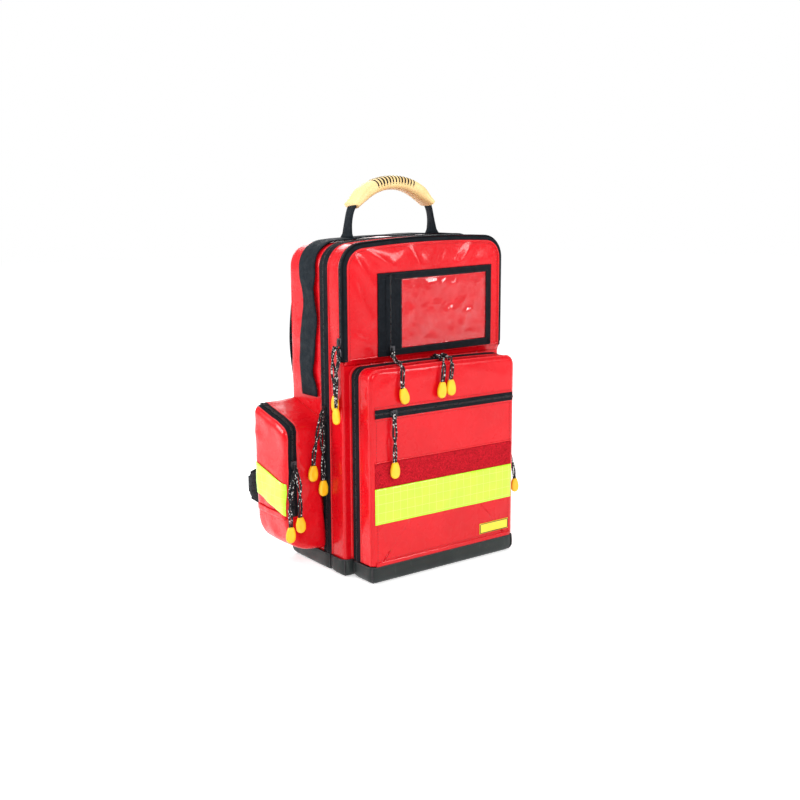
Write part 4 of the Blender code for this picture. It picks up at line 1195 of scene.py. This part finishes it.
def make_carry_strap():
    """Webbing up both sides and over the top, loose enough to buckle on the sides."""
    rail = railed(outline(*CASING, STRAP_LOW), STRAP_Y, 0.004)
    rows = []
    for p, out in rail:
        on_side = ease(0.430 - p.z, 0.03) * ease(p.z - STRAP_LOW - 0.004, 0.03)
        wave = math.sin((p.z - 0.25) * 2 * math.pi / 0.125 + 0.6)
        narrow = 1.0 - 0.20 * on_side * ease(wave, 1.0)
        shift = 0.0045 * on_side * math.sin((p.z - 0.25) * 2 * math.pi / 0.17)
        bulge = 0.0022 * on_side * (0.55 + 0.45 * wave)
        row = []
        for a in steps(-STRAP_HALF, STRAP_HALF, 0.0038):
            cup = bulge * (1 - 0.5 * abs(a) / STRAP_HALF) + 0.0003 * on_side * (1 if a < 0 else -1) * wave
            base = Vector((p.x, STRAP_Y + a * narrow + shift, p.z))
            row.append(base + out * (0.0021 + main_lift(base) + cup))
        rows.append(row)
    shape = Shape().grid(rows, flip=True)
    seat(shape.made("carry_webbing", WEBBING, 0.0016), "main_compartment", "carry_strap")
    thread = Shape()
    for a in (-0.0165, 0.0165):
        line = []
        for p, out in rail:
            if p.z > 0.44:
                base = Vector((p.x, STRAP_Y + a, p.z))
                line.append((base + out * (0.0022 + main_lift(base)), out))
        thread.join(stitches(line, 0.0046, 0.0030, 0.0004))
    over = [(p, out) for p, out in rail if p.z >= 0.4]
    half_x, half_y = 0.011, 0.0145  # of the crossed box of stitches at each foot of the handle
    crossed = ((-1, -1), (1, -1), (1, 1), (-1, 1), (-1, -1), (1, 1), (-1, 1), (1, -1))
    for middle in (-0.074, 0.074):
        line = []
        for u, v in crossed:
            p, out = min(over, key=lambda entry: abs(entry[0].x - middle - u * half_x))
            line.append((Vector((p.x, STRAP_Y + v * half_y, p.z)) + out * 0.0026, out))
        thread.join(stitches(line, 0.0040, 0.0028, 0.0004))
    seat(thread.made("carry_stitches", BLACK_THREAD), "main_compartment")


def handle_route():
    half = [(-0.0770, 0.4700), (-0.0762, 0.4755), (-0.0745, 0.4910), (-0.0705, 0.5070), (-0.0625, 0.5200)]
    left = half + [(-0.0470, 0.5330), (-0.0240, 0.5428), (0.0, 0.5458)]
    return [(x, STRAP_Y, z) for x, z in left] + [(-x, STRAP_Y, z) for x, z in reversed(left[:-1])]


def make_handle():
    route = resample(smooth(handle_route(), 8), 0.0030)
    rows = []
    for n, (here, along) in enumerate(zip(route, tangents(route))):
        t = n / (len(route) - 1)
        near = min(t, 1 - t) / 0.24
        leg = math.sin(math.pi * near) if near < 1 else 0.0
        twist = math.radians(-8 if t < 0.5 else 15) * leg
        out = Vector((-along.z, 0, along.x))
        side = BACKWARD * math.cos(twist) + out * math.sin(twist)
        normal = along.cross(side)
        half = 0.0130 * (1 - 0.12 * leg) + 0.0030 * ease(0.10 - near, 0.10)
        ring = []
        for a, h in ((-1, -0.6), (-0.5, -1), (0.5, -1), (1, -0.6), (1, 0.6), (0.5, 1), (-0.5, 1), (-1, 0.6)):
            ring.append(here + side * half * a + normal * 0.0013 * h)
        rows.append(ring)
    webbing = Shape().grid(rows, closed=True, end=True, start=True).made("handle_strap", WEBBING)
    foot, held = (0, STRAP_Y, 0.4745), (0, STRAP_Y, 0.4990)
    bridge(webbing, "main_compartment", "carry_handle", foot, held, "handle_webbing")

    tips = [(-0.0685, STRAP_Y, 0.5150), (0.0685, STRAP_Y, 0.5150)]
    spine = resample(smooth([tips[0], *handle_route()[4:-4], tips[1]], 10), 0.0006)
    rows, marks = [], []
    slit_pitch, slit_half, slit_reach, grip_length = 0.0054, 0.0011, 6.6, 0.158
    for n, (here, along) in enumerate(zip(spine, tangents(spine))):
        t = n / (len(spine) - 1)
        run = (t - 0.5) * grip_length
        end = 1 - ease(min(t, 1 - t), 0.16)
        up = Vector((-along.z, 0, along.x))
        near = abs((run + slit_pitch * 20.5) % slit_pitch - slit_pitch / 2)
        open_here = abs(run) < slit_pitch * slit_reach and near < slit_half
        ring = []
        for a in turns(36):
            u, v = squared(a, 0.72, 0.80)
            cut = open_here and math.sin(a) > -0.12
            depth = 0.86 if cut else 1.0
            wide, tall = 0.0152 * (1 + 0.12 * end) * u * depth, 0.0100 * (1 - 0.42 * end) * v * depth
            ring.append(here + BACKWARD * wide + up * (tall - 0.0006))
            marks.append(cut)
        rows.append(ring)
    grip = Shape().grid(rows, closed=True, end=True, start=True).made("grip_sleeve", GRIP)
    # The faces inside the slits take the darkened tan, a painted shade in the cuts.
    grip.data.materials.append(SLIT_PAINTED_SHADE)
    for polygon in grip.data.polygons:
        if len(polygon.vertices) == 4 and sum(marks[v] for v in polygon.vertices) > 1:
            polygon.material_index = 1
    seat(grip, "carry_handle", "handle_grip")


# ---------------------------------------------------------------- harness


def make_back_pad():
    flat = outline(BACK_HALF, BACK_LOW, BACK_HIGH, 0.020, 0.030, 2.0)
    rail = railed(flat, 0.0965, 0.0055, closed=True)
    rows = ringed(rail, [(0.0, 0.0965), (0.0, 0.0995), *rounding(BACK_FACE, -0.0085)])
    rows += capped(rows[-1], Vector((0, BACK_FACE, 0.244)), [1 - 0.025 * n for n in range(1, 39)])
    face, channel_width, sewn_half = 0.104, 0.0065, 0.004

    def inside(p):
        return edge_distance(p.x, p.z, BACK_HALF, BACK_HIGH + 0.001, 0.030, BACK_LOW)

    def valley(away):
        return math.exp(-((away / channel_width) ** 2))

    def quilt(p):
        if p.y < face:
            return 0.0
        between = ease(QUILT_Z[-1] - p.z, 0.01) * ease(p.z - QUILT_Z[0], 0.01)
        channel = max([valley(p.x - x) * between for x in QUILT_X] + [valley(p.z - z) for z in QUILT_Z])
        return ease(inside(p), 0.02) * (0.0020 - 0.0068 * channel) + 0.0004 * ruffle(p, 0.02)

    def sewn(p):
        if p.y < face or inside(p) < sewn_half:
            return True
        across = min(abs(p.z - z) for z in QUILT_Z)
        along = min(abs(p.x - x) for x in QUILT_X)
        return across < sewn_half or along < sewn_half and QUILT_Z[0] < p.z < QUILT_Z[-1]

    padded = Shape().grid(rows, closed=True, flip=True, end=True).lift(quilt).made("back_cushion", PAD)
    stuff(padded, [v.index for v in padded.data.vertices if sewn(v.co)], 0.0030)
    seat(padded, "main_compartment", "back_panel")
    edge = [p for p, _ in railed(flat, 0.0985, 0.0045, closed=True, inset=-0.0006)]
    seat(tube(edge, 0.0022, closed=True).made("back_binding", TAPE), "main_compartment")


def soft_sweep(route, half_widths, thick):
    """A pad along route with a pillow-shaped section that closes softly at both ends."""
    rows = []
    count = len(route) - 1
    for n, (here, along) in enumerate(zip(route, tangents(route))):
        across = (RIGHT - along * RIGHT.dot(along)).normalized()
        out = along.cross(across)
        end = min(n, count - n) / count
        close = math.sqrt(max(0.0, 1 - (1 - min(end / 0.035, 1.0)) ** 2))
        ring = []
        for a in turns(PAD_SIDES):
            u, v = squared(a, 0.62, 0.55)
            wide = u * half_widths[n] * (0.75 + 0.25 * close)
            tall = v * thick / 2 * max(close, 0.12) * (1 - 0.35 * abs(math.cos(a)) ** 3)
            ring.append(here + across * wide + out * tall)
        rows.append(ring)
    return Shape().grid(rows, closed=True, end=True, start=True)


def harness_section(crown, *middle):
    """The (sideways, height) section of harness webbing, with crown as its height inside its edges."""
    edge = HARNESS_HALF - 0.001
    return [(-HARNESS_HALF, 0), (-edge, crown), *middle, (edge, crown), (HARNESS_HALF, 0)]


def make_shoulder(label, side):
    body = "main_compartment"
    path = [
        (0.050, 0.1165, 0.440), (0.0525, 0.1385, 0.434), (0.058, 0.1600, 0.395), (0.064, 0.1640, 0.345),
        (0.072, 0.1560, 0.290), (0.080, 0.1440, 0.240), (0.086, 0.1340, 0.199),
    ]
    route = resample(smooth([(side * x, y, z) for x, y, z in path], 8), 0.004)
    count = len(route) - 1
    halves = []
    for n in range(count + 1):
        t = n / count
        halves.append(0.030 + 0.003 * math.sin(math.pi * min(t * 1.3, 1.0)) - 0.0075 * ease(t - 0.55, 0.45))
    pad = soft_sweep(route, halves, 0.0145)
    pad.lift(lambda p: 0.0007 * ruffle(p, 0.022, 3.0) + 0.0004 * crease(p, 0.03, 1.0))
    cushion = pad.made("shoulder_pad_" + label, PAD)
    held = (27, 0, 1, 13, 14, 15, 19, 20, 21, 22, 23)  # both edges and the side that lies against the wearer
    stuff(cushion, ring_places(cushion, PAD_SIDES, held), 0.0025)
    seat(cushion, body, "shoulder_strap_" + label)
    edges, left, right, over = Shape(), [], [], []
    for n, (here, along) in enumerate(zip(route, tangents(route))):
        across = (RIGHT - along * RIGHT.dot(along)).normalized()
        out = along.cross(across)
        if 1 < n < count - 1:
            left.append(here - across * (halves[n] - 0.0004))
            right.append(here + across * (halves[n] - 0.0004))
        if n > 3:
            over.append(here + (out if out.y > 0 else -out) * 0.0078)
    edges.join(tube(left, 0.0021)).join(tube(right, 0.0021))
    seat(edges.made("shoulder_binding_" + label, TAPE), body)
    over += [Vector((side * 0.0885, 0.1345, 0.186)), Vector((side * 0.0885, 0.1310, 0.178))]
    line = resample(smooth(over[::3] + over[-1:], 4), 0.004)
    strip = ribbon(line, RIGHT, harness_section(0.0004, (0, 0.0005)))
    seat(strip.made("shoulder_webbing_" + label, WEBBING, 0.0014), body)

    low = [
        (0.0885, 0.1300, 0.1700), (0.0890, 0.1285, 0.1600), (0.0900, 0.1240, 0.1350),
        (0.0910, 0.1180, 0.1000), (0.0910, 0.1125, 0.0620), (0.0905, 0.1118, 0.0420),
    ]
    line = resample(smooth([(side * x, y, z) for x, y, z in low], 6), 0.003)
    strip = ribbon(line, RIGHT, harness_section(0.0003, (0, 0.0004)))
    seat(strip.made("lower_strap_" + label, WEBBING, 0.0016), body, "lower_webbing_" + label)
    reach = sorted((side * 0.074, side * 0.107))
    anchor = patch(lambda x, z, h: Vector((x, 0.1135 + h, z)), reach, (0.034, 0.052), 0.0, 0.003)
    seat(anchor.made("strap_anchor_" + label, WEBBING, -0.0018), body)


def make_wing(label, side):
    body = "hip_wing_" + label
    stations = [  # outwards, back, height of the wing there
        (0.1100, 0.1175, 0.100), (0.1230, 0.1200, 0.095), (0.1350, 0.1240, 0.088), (0.1480, 0.1305, 0.078),
        (0.1600, 0.1380, 0.065), (0.1710, 0.1480, 0.050), (0.1805, 0.1585, 0.034),
    ]
    points = resample(smooth(stations, 5), 0.003)
    rows = []
    for n, p in enumerate(points):
        t = n / (len(points) - 1)
        close = math.sqrt(max(0.0, 1 - max(0.0, (t - 0.93) / 0.07) ** 2))
        ring = []
        for a in turns(PAD_SIDES):
            u, v = squared(a, 0.6, 0.6)
            tall = p.z / 2 * u * (0.45 + 0.55 * close)
            thick = 0.0062 * v * (1 - 0.4 * abs(math.cos(a)) ** 3) * max(close, 0.1)
            ring.append(Vector((side * (p.x - thick * 0.45), p.y + thick, WING_Z + tall)))
        rows.append(ring)
    pad = Shape().grid(rows, closed=True, end=True, start=True, flip=side > 0)
    pad.lift(lambda q: 0.0007 * ruffle(q, 0.02, 6.0) + 0.0004 * crease(q, 0.03, 2.0))
    wing = pad.made("hip_pad_" + label, PAD)
    held = (27, 0, 1, 6, 7, 8, 13, 14, 15)  # both edges and the middle, under the webbing
    stuff(wing, ring_places(wing, PAD_SIDES, held), 0.0020)
    seat(wing, body, "hip_wing_" + label)
    edges = Shape()
    for sign in (-1, 1):
        line = [Vector((side * p.x, p.y, WING_Z + sign * p.z / 2)) for p in points[1:-2]]
        edges.join(tube(line, 0.0020))
    seat(edges.made("hip_binding_" + label, TAPE), body)
    line = [Vector((side * (p.x - 0.0032), p.y + 0.0072, WING_Z)) for p in points[3:]]
    strip = ribbon(line, UP, harness_section(0.0003))
    seat(strip.made("hip_webbing_" + label, WEBBING, 0.0014 * side), body)


# ---------------------------------------------------------------- pulls

# name, the slider's middle, its outward face, the cord's route from the slider, the tag's direction and face
PULLS = (
    ("window", (-0.0655, -0.0530, 0.3150), FORWARD, [
        (-0.0655, -0.0560, 0.3070), (-0.0660, -0.0620, 0.3015), (-0.0690, -0.0740, 0.2998),
        (-0.0740, -0.0860, 0.2994), (-0.0780, -0.0945, 0.2940),
        (-0.0805, -0.0970, 0.2820), (-0.0810, -0.0980, 0.2690),
    ], (0.25, 0, -1), FORWARD),
    ("pocket_left", (0.0080, -0.0560, 0.2998), UP, [
        (0.0075, -0.0632, 0.3010), (0.0040, -0.0740, 0.3000), (-0.0020, -0.0860, 0.2996),
        (-0.0070, -0.0948, 0.2945), (-0.0100, -0.0975, 0.2830), (-0.0120, -0.0980, 0.2710),
    ], (-0.08, 0, -1), FORWARD),
    ("pocket_right", (0.0210, -0.0560, 0.2998), UP, [
        (0.0210, -0.0632, 0.3010), (0.0180, -0.0740, 0.3000), (0.0125, -0.0860, 0.2996),
        (0.0075, -0.0948, 0.2945), (0.0045, -0.0975, 0.2830), (0.0025, -0.0980, 0.2730),
    ], (0.08, 0, -1), FORWARD),
    ("flat_pocket", (-0.0950, -0.0957, 0.2365), FORWARD, [
        (-0.0950, -0.0985, 0.2290), (-0.0953, -0.0990, 0.2140), (-0.0950, -0.0990, 0.1990),
        (-0.0946, -0.0985, 0.1840), (-0.0945, -0.0980, 0.1690),
    ], (0.02, 0, -1), FORWARD),
    ("mid_upper", (-0.1431, -0.0400, 0.3300), LEFT, [
        (-0.1495, -0.0370, 0.3245), (-0.1502, -0.0330, 0.3090), (-0.1485, -0.0320, 0.2900),
        (-0.1470, -0.0320, 0.2720), (-0.1468, -0.0325, 0.2570),
    ], (0, 0.02, -1), LEFT),
    ("mid_lower", (-0.1431, -0.0400, 0.3165), LEFT, [
        (-0.1475, -0.0445, 0.3085), (-0.1520, -0.0465, 0.2950), (-0.1550, -0.0475, 0.2780),
        (-0.1550, -0.0475, 0.2600), (-0.1550, -0.0470, 0.2430),
    ], (0, -0.03, -1), LEFT),
    ("main_upper", (-0.1431, 0.0, 0.2320), LEFT, [
        (-0.1500, -0.0020, 0.2250), (-0.1560, -0.0050, 0.2090), (-0.1605, -0.0050, 0.1920),
        (-0.1630, -0.0025, 0.1740), (-0.1638, -0.0010, 0.1560),
    ], (-0.05, 0, -1), FORWARD),
    ("main_lower", (-0.1431, 0.0, 0.2180), LEFT, [
        (-0.1475, -0.0010, 0.2100), (-0.1482, -0.0010, 0.1920), (-0.1484, -0.0020, 0.1720),
        (-0.1487, -0.0025, 0.1520), (-0.1490, -0.0025, 0.1330),
    ], (0.02, 0, -1), FORWARD),
    ("side_left_upper", (-0.1930, 0.0034, 0.1600), FORWARD, [
        (-0.1928, -0.0025, 0.1520), (-0.1900, -0.0050, 0.1370), (-0.1888, -0.0048, 0.1200),
        (-0.1885, -0.0044, 0.1030), (-0.1885, -0.0040, 0.0870),
    ], (0.06, 0, -1), FORWARD),
    ("side_left_lower", (-0.1930, 0.0034, 0.1460), FORWARD, [
        (-0.1965, -0.0002, 0.1375), (-0.2015, -0.0025, 0.1260), (-0.2042, -0.0045, 0.1100),
        (-0.2046, -0.0055, 0.0930), (-0.2046, -0.0055, 0.0760),
    ], (-0.04, 0, -1), FORWARD),
    ("side_right", (0.1930, 0.0034, 0.1500), FORWARD, [
        (0.1945, 0.0000, 0.1420), (0.2000, -0.0030, 0.1280), (0.2070, -0.0050, 0.1120),
        (0.2110, -0.0060, 0.0960), (0.2130, -0.0060, 0.0800),
    ], (0.10, 0, -1), FORWARD),
)


def make_tag(name, top, way, face):
    """A moulded drop with a dished front, narrow where the cord goes in."""
    down = Vector(way).normalized()
    out = (Vector(face) - down * Vector(face).dot(down)).normalized()
    across = out.cross(down)
    widths = [  # share of the length, half width there
        (0.0, 0.0032), (0.06, 0.0044), (0.22, 0.0060), (0.45, 0.0073),
        (0.62, 0.0075), (0.80, 0.0068), (0.93, 0.0047), (1.0, 0.0013),
    ]
    rows = []
    for t in steps(0, 1, 0.05):
        k = max(n for n in range(len(widths) - 1) if widths[n][0] <= t + 1e-9)
        (t0, w0), (t1, w1) = widths[k], widths[k + 1]
        half = w0 + (w1 - w0) * (t - t0) / (t1 - t0)
        tip = 1 if t < 0.9 else math.sqrt(max(0.05, 1 - ((t - 0.9) / 0.1) ** 2))
        thick = TAG_HALF_THICK * (0.80 + 0.2 * math.sin(math.pi * t)) * tip
        ring = []
        for a in turns(24):
            u, v = squared(a, 0.8, 0.7)
            u, v = half * u, thick * v
            dish = math.exp(-((u / 0.0036) ** 2) - (((t - 0.55) * TAG_LENGTH) / 0.0055) ** 2)
            v -= 0.0010 * dish * (1 if math.sin(a) > 0 else -1)
            ring.append(Vector(top) + across * u + down * t * TAG_LENGTH + out * v)
        rows.append(ring)
    tag = Shape().grid(rows, closed=True, end=True, start=True).made(name, TAG)
    tag.modifiers.new("soft", "SUBSURF").render_levels = 1
    return tag


def strand(name, points):
    curve = bpy.data.curves.new(name, "CURVE")
    curve.dimensions = "3D"
    curve.bevel_depth = CORD / 2
    curve.bevel_resolution = 3
    curve.use_fill_caps = True
    curve.materials.append(FLECKED)
    spline = curve.splines.new("POLY")
    spline.points.add(len(points) - 1)
    for point, place in zip(spline.points, points):
        point.co = (*place, 1.0)
    spline.use_smooth = True
    obj = bpy.data.objects.new(name, curve)
    bpy.context.scene.collection.objects.link(obj)
    return obj


def make_pull(name, place, normal, route, way, face):
    """A doubled cord hitched to the slider's bridge, its strands twisted once, and the tag they end in."""
    body = name + "_slider"
    spine = smooth(route, 6)
    spine.append(spine[-1] + Vector(way).normalized() * 0.0045)
    level = Vector(face).cross(DOWN)
    eye = Vector(place) + Vector(normal) * 0.0036
    strands = ([], [])
    for n, (here, along) in enumerate(zip(spine, tangents(spine))):
        across = (level - along * level.dot(along)).normalized()
        out = along.cross(across)
        t = n / (len(spine) - 1)
        spread = 0.0016 + 0.0008 * math.sin(math.pi * t)
        turn = math.pi * ease(t - 0.12, 0.62)
        offset = (across * math.cos(turn) + out * math.sin(turn)) * spread
        strands[0].append(here + offset)
        strands[1].append(here - offset)
    tag = make_tag(name + "_tag", route[-1], way, face)
    seat(tag, body, name + "_pull")
    for letter, points in zip("ab", strands):
        cord = strand(f"{name}_cord_{letter}", points)
        seat(cord, body, name + "_pull")
    first = (strands[0][0] + strands[1][0]) / 2
    side = (strands[0][0] - strands[1][0]).normalized()
    loop = []
    for n in range(15):
        a = math.pi * n / 14
        loop.append(first.lerp(eye, math.sin(a)) + side * math.cos(a) * 0.0017)
    heading = (spine[2] - spine[0]).normalized()
    middle = first - heading * 0.0012
    out = side.cross(heading)
    wrap = [middle + side * math.cos(a) * 0.0030 + out * math.sin(a) * 0.0023 for a in turns(20)]
    hitch = Shape().join(tube(loop, CORD / 2, 10)).join(tube(wrap, 0.0011, closed=True))
    seat(hitch.made(name + "_hitch", FLECKED), body)


def finish_cad_parts():
    """The sliders and ladder locks keep their CAD shape, with softened edges and their own finish."""
    for name, node in frame["nodes"].items():
        if name.endswith("_slider") or name.startswith("ladder_lock"):
            look = METAL if name.endswith("_slider") else PLASTIC
            node.data.materials.clear()
            node.data.materials.append(look)
            bevel = node.modifiers.new("edges", "BEVEL")
            bevel.width = 0.0004 if name.endswith("_slider") else 0.0009
            bevel.segments = 2
            bevel.limit_method = "ANGLE"


# ---------------------------------------------------------------- studio


def make_studio():
    world = bpy.data.worlds.new("studio")
    world.use_nodes = True
    nodes, links = world.node_tree.nodes, world.node_tree.links
    soft = nodes["Background"]
    soft.inputs["Color"].default_value = (1.0, 1.0, 1.0, 1.0)
    soft.inputs["Strength"].default_value = 0.38
    backdrop = nodes.new("ShaderNodeBackground")
    backdrop.inputs["Color"].default_value = (1.0, 1.0, 1.0, 1.0)
    backdrop.inputs["Strength"].default_value = 1.0
    seen, choice = nodes.new("ShaderNodeLightPath"), nodes.new("ShaderNodeMixShader")
    links.new(seen.outputs["Is Camera Ray"], choice.inputs[0])
    links.new(soft.outputs[0], choice.inputs[1])
    links.new(backdrop.outputs[0], choice.inputs[2])
    links.new(choice.outputs[0], nodes["World Output"].inputs["Surface"])
    bpy.context.scene.world = world
    bpy.context.scene.view_settings.view_transform = "Standard"
    lights = (
        ("key", (-0.85, -1.60, 1.25), (0, 0, 0.30), (0.5, 0.5), 18),
        ("strip", (1.25, -1.75, 1.05), (0, 0, 0.33), (0.28, 0.80), 14),
        ("side", (-1.60, 0.95, 0.95), (0, 0, 0.28), (0.7, 0.7), 22),
        ("top", (0.0, 0.3, 2.2), (0, 0, 0.3), (1.8, 1.8), 20),
        ("rear", (0.9, 1.8, 1.1), (0, 0, 0.25), (1.4, 1.4), 20),
    )
    for name, place, aim, size, power in lights:
        data = bpy.data.lights.new(name, "AREA")
        data.shape = "RECTANGLE"
        data.size, data.size_y = size
        data.energy = power
        lamp = bpy.data.objects.new(name, data)
        lamp.location = place
        lamp.rotation_mode = "QUATERNION"
        lamp.rotation_quaternion = (Vector(aim) - Vector(place)).to_track_quat("-Z", "Y")
        bpy.context.scene.collection.objects.link(lamp)
    reach = 12.0
    floor = Shape().grid([[Vector((x, y, -0.0002)) for x in (-reach, reach)] for y in (-reach, reach)])
    look = Look("pale_floor", "", (0.82, 0.82, 0.82), 0.85, Emission_Color=(1.0, 1.0, 1.0, 1.0))
    away = look.node("ShaderNodeVectorMath", ((0, look.place),), operation="LENGTH").outputs["Value"]
    look.put(look.shader, "Emission Strength", look.span(away, 0.5, 0.70, 0.9, 2.6))
    floor.made("floor", look.material)


def make_camera():
    data = bpy.data.cameras.new("camera")
    data.sensor_width = 36.0
    data.lens = 45.32
    camera = bpy.data.objects.new("camera", data)
    yaw, pitch, roll = math.radians(36.7), math.radians(9.97), math.radians(0.24)
    ahead = Vector((math.sin(yaw) * math.cos(pitch), math.cos(yaw) * math.cos(pitch), -math.sin(pitch)))
    right = Vector((math.cos(yaw), -math.sin(yaw), 0.0))
    up = right.cross(ahead)
    turned = Matrix.Rotation(roll, 3, ahead)
    right, up = turned @ right, turned @ up
    camera.matrix_world = Matrix((
        (right.x, up.x, -ahead.x, -0.88106),
        (right.y, up.y, -ahead.y, -1.16514),
        (right.z, up.z, -ahead.z, 0.48749),
        (0, 0, 0, 1),
    ))
    bpy.context.scene.collection.objects.link(camera)
    bpy.context.scene.camera = camera


make_camera()
make_studio()
for pull in PULLS:
    make_pull(*pull)
make_main()
make_lid()
boot("main_rubber", 0.1435, -0.0067, 0.0985, "main_compartment", "main_boot")
boot("lid_rubber", 0.1435, -0.0445, -0.0073, "main_lid", "mid_boot")
boot("pocket_rubber", 0.1305, -0.0930, -0.0448, "main_lid", "front_boot", 0.0243)
make_gusset()
make_flap()
make_window()
make_cover()
make_cover_trims()
for label, side in (("left", -1), ("right", 1)):
    make_side(label, side)
    make_shoulder(label, side)
    make_wing(label, side)
make_carry_strap()
make_handle()
make_back_pad()
finish_cad_parts()
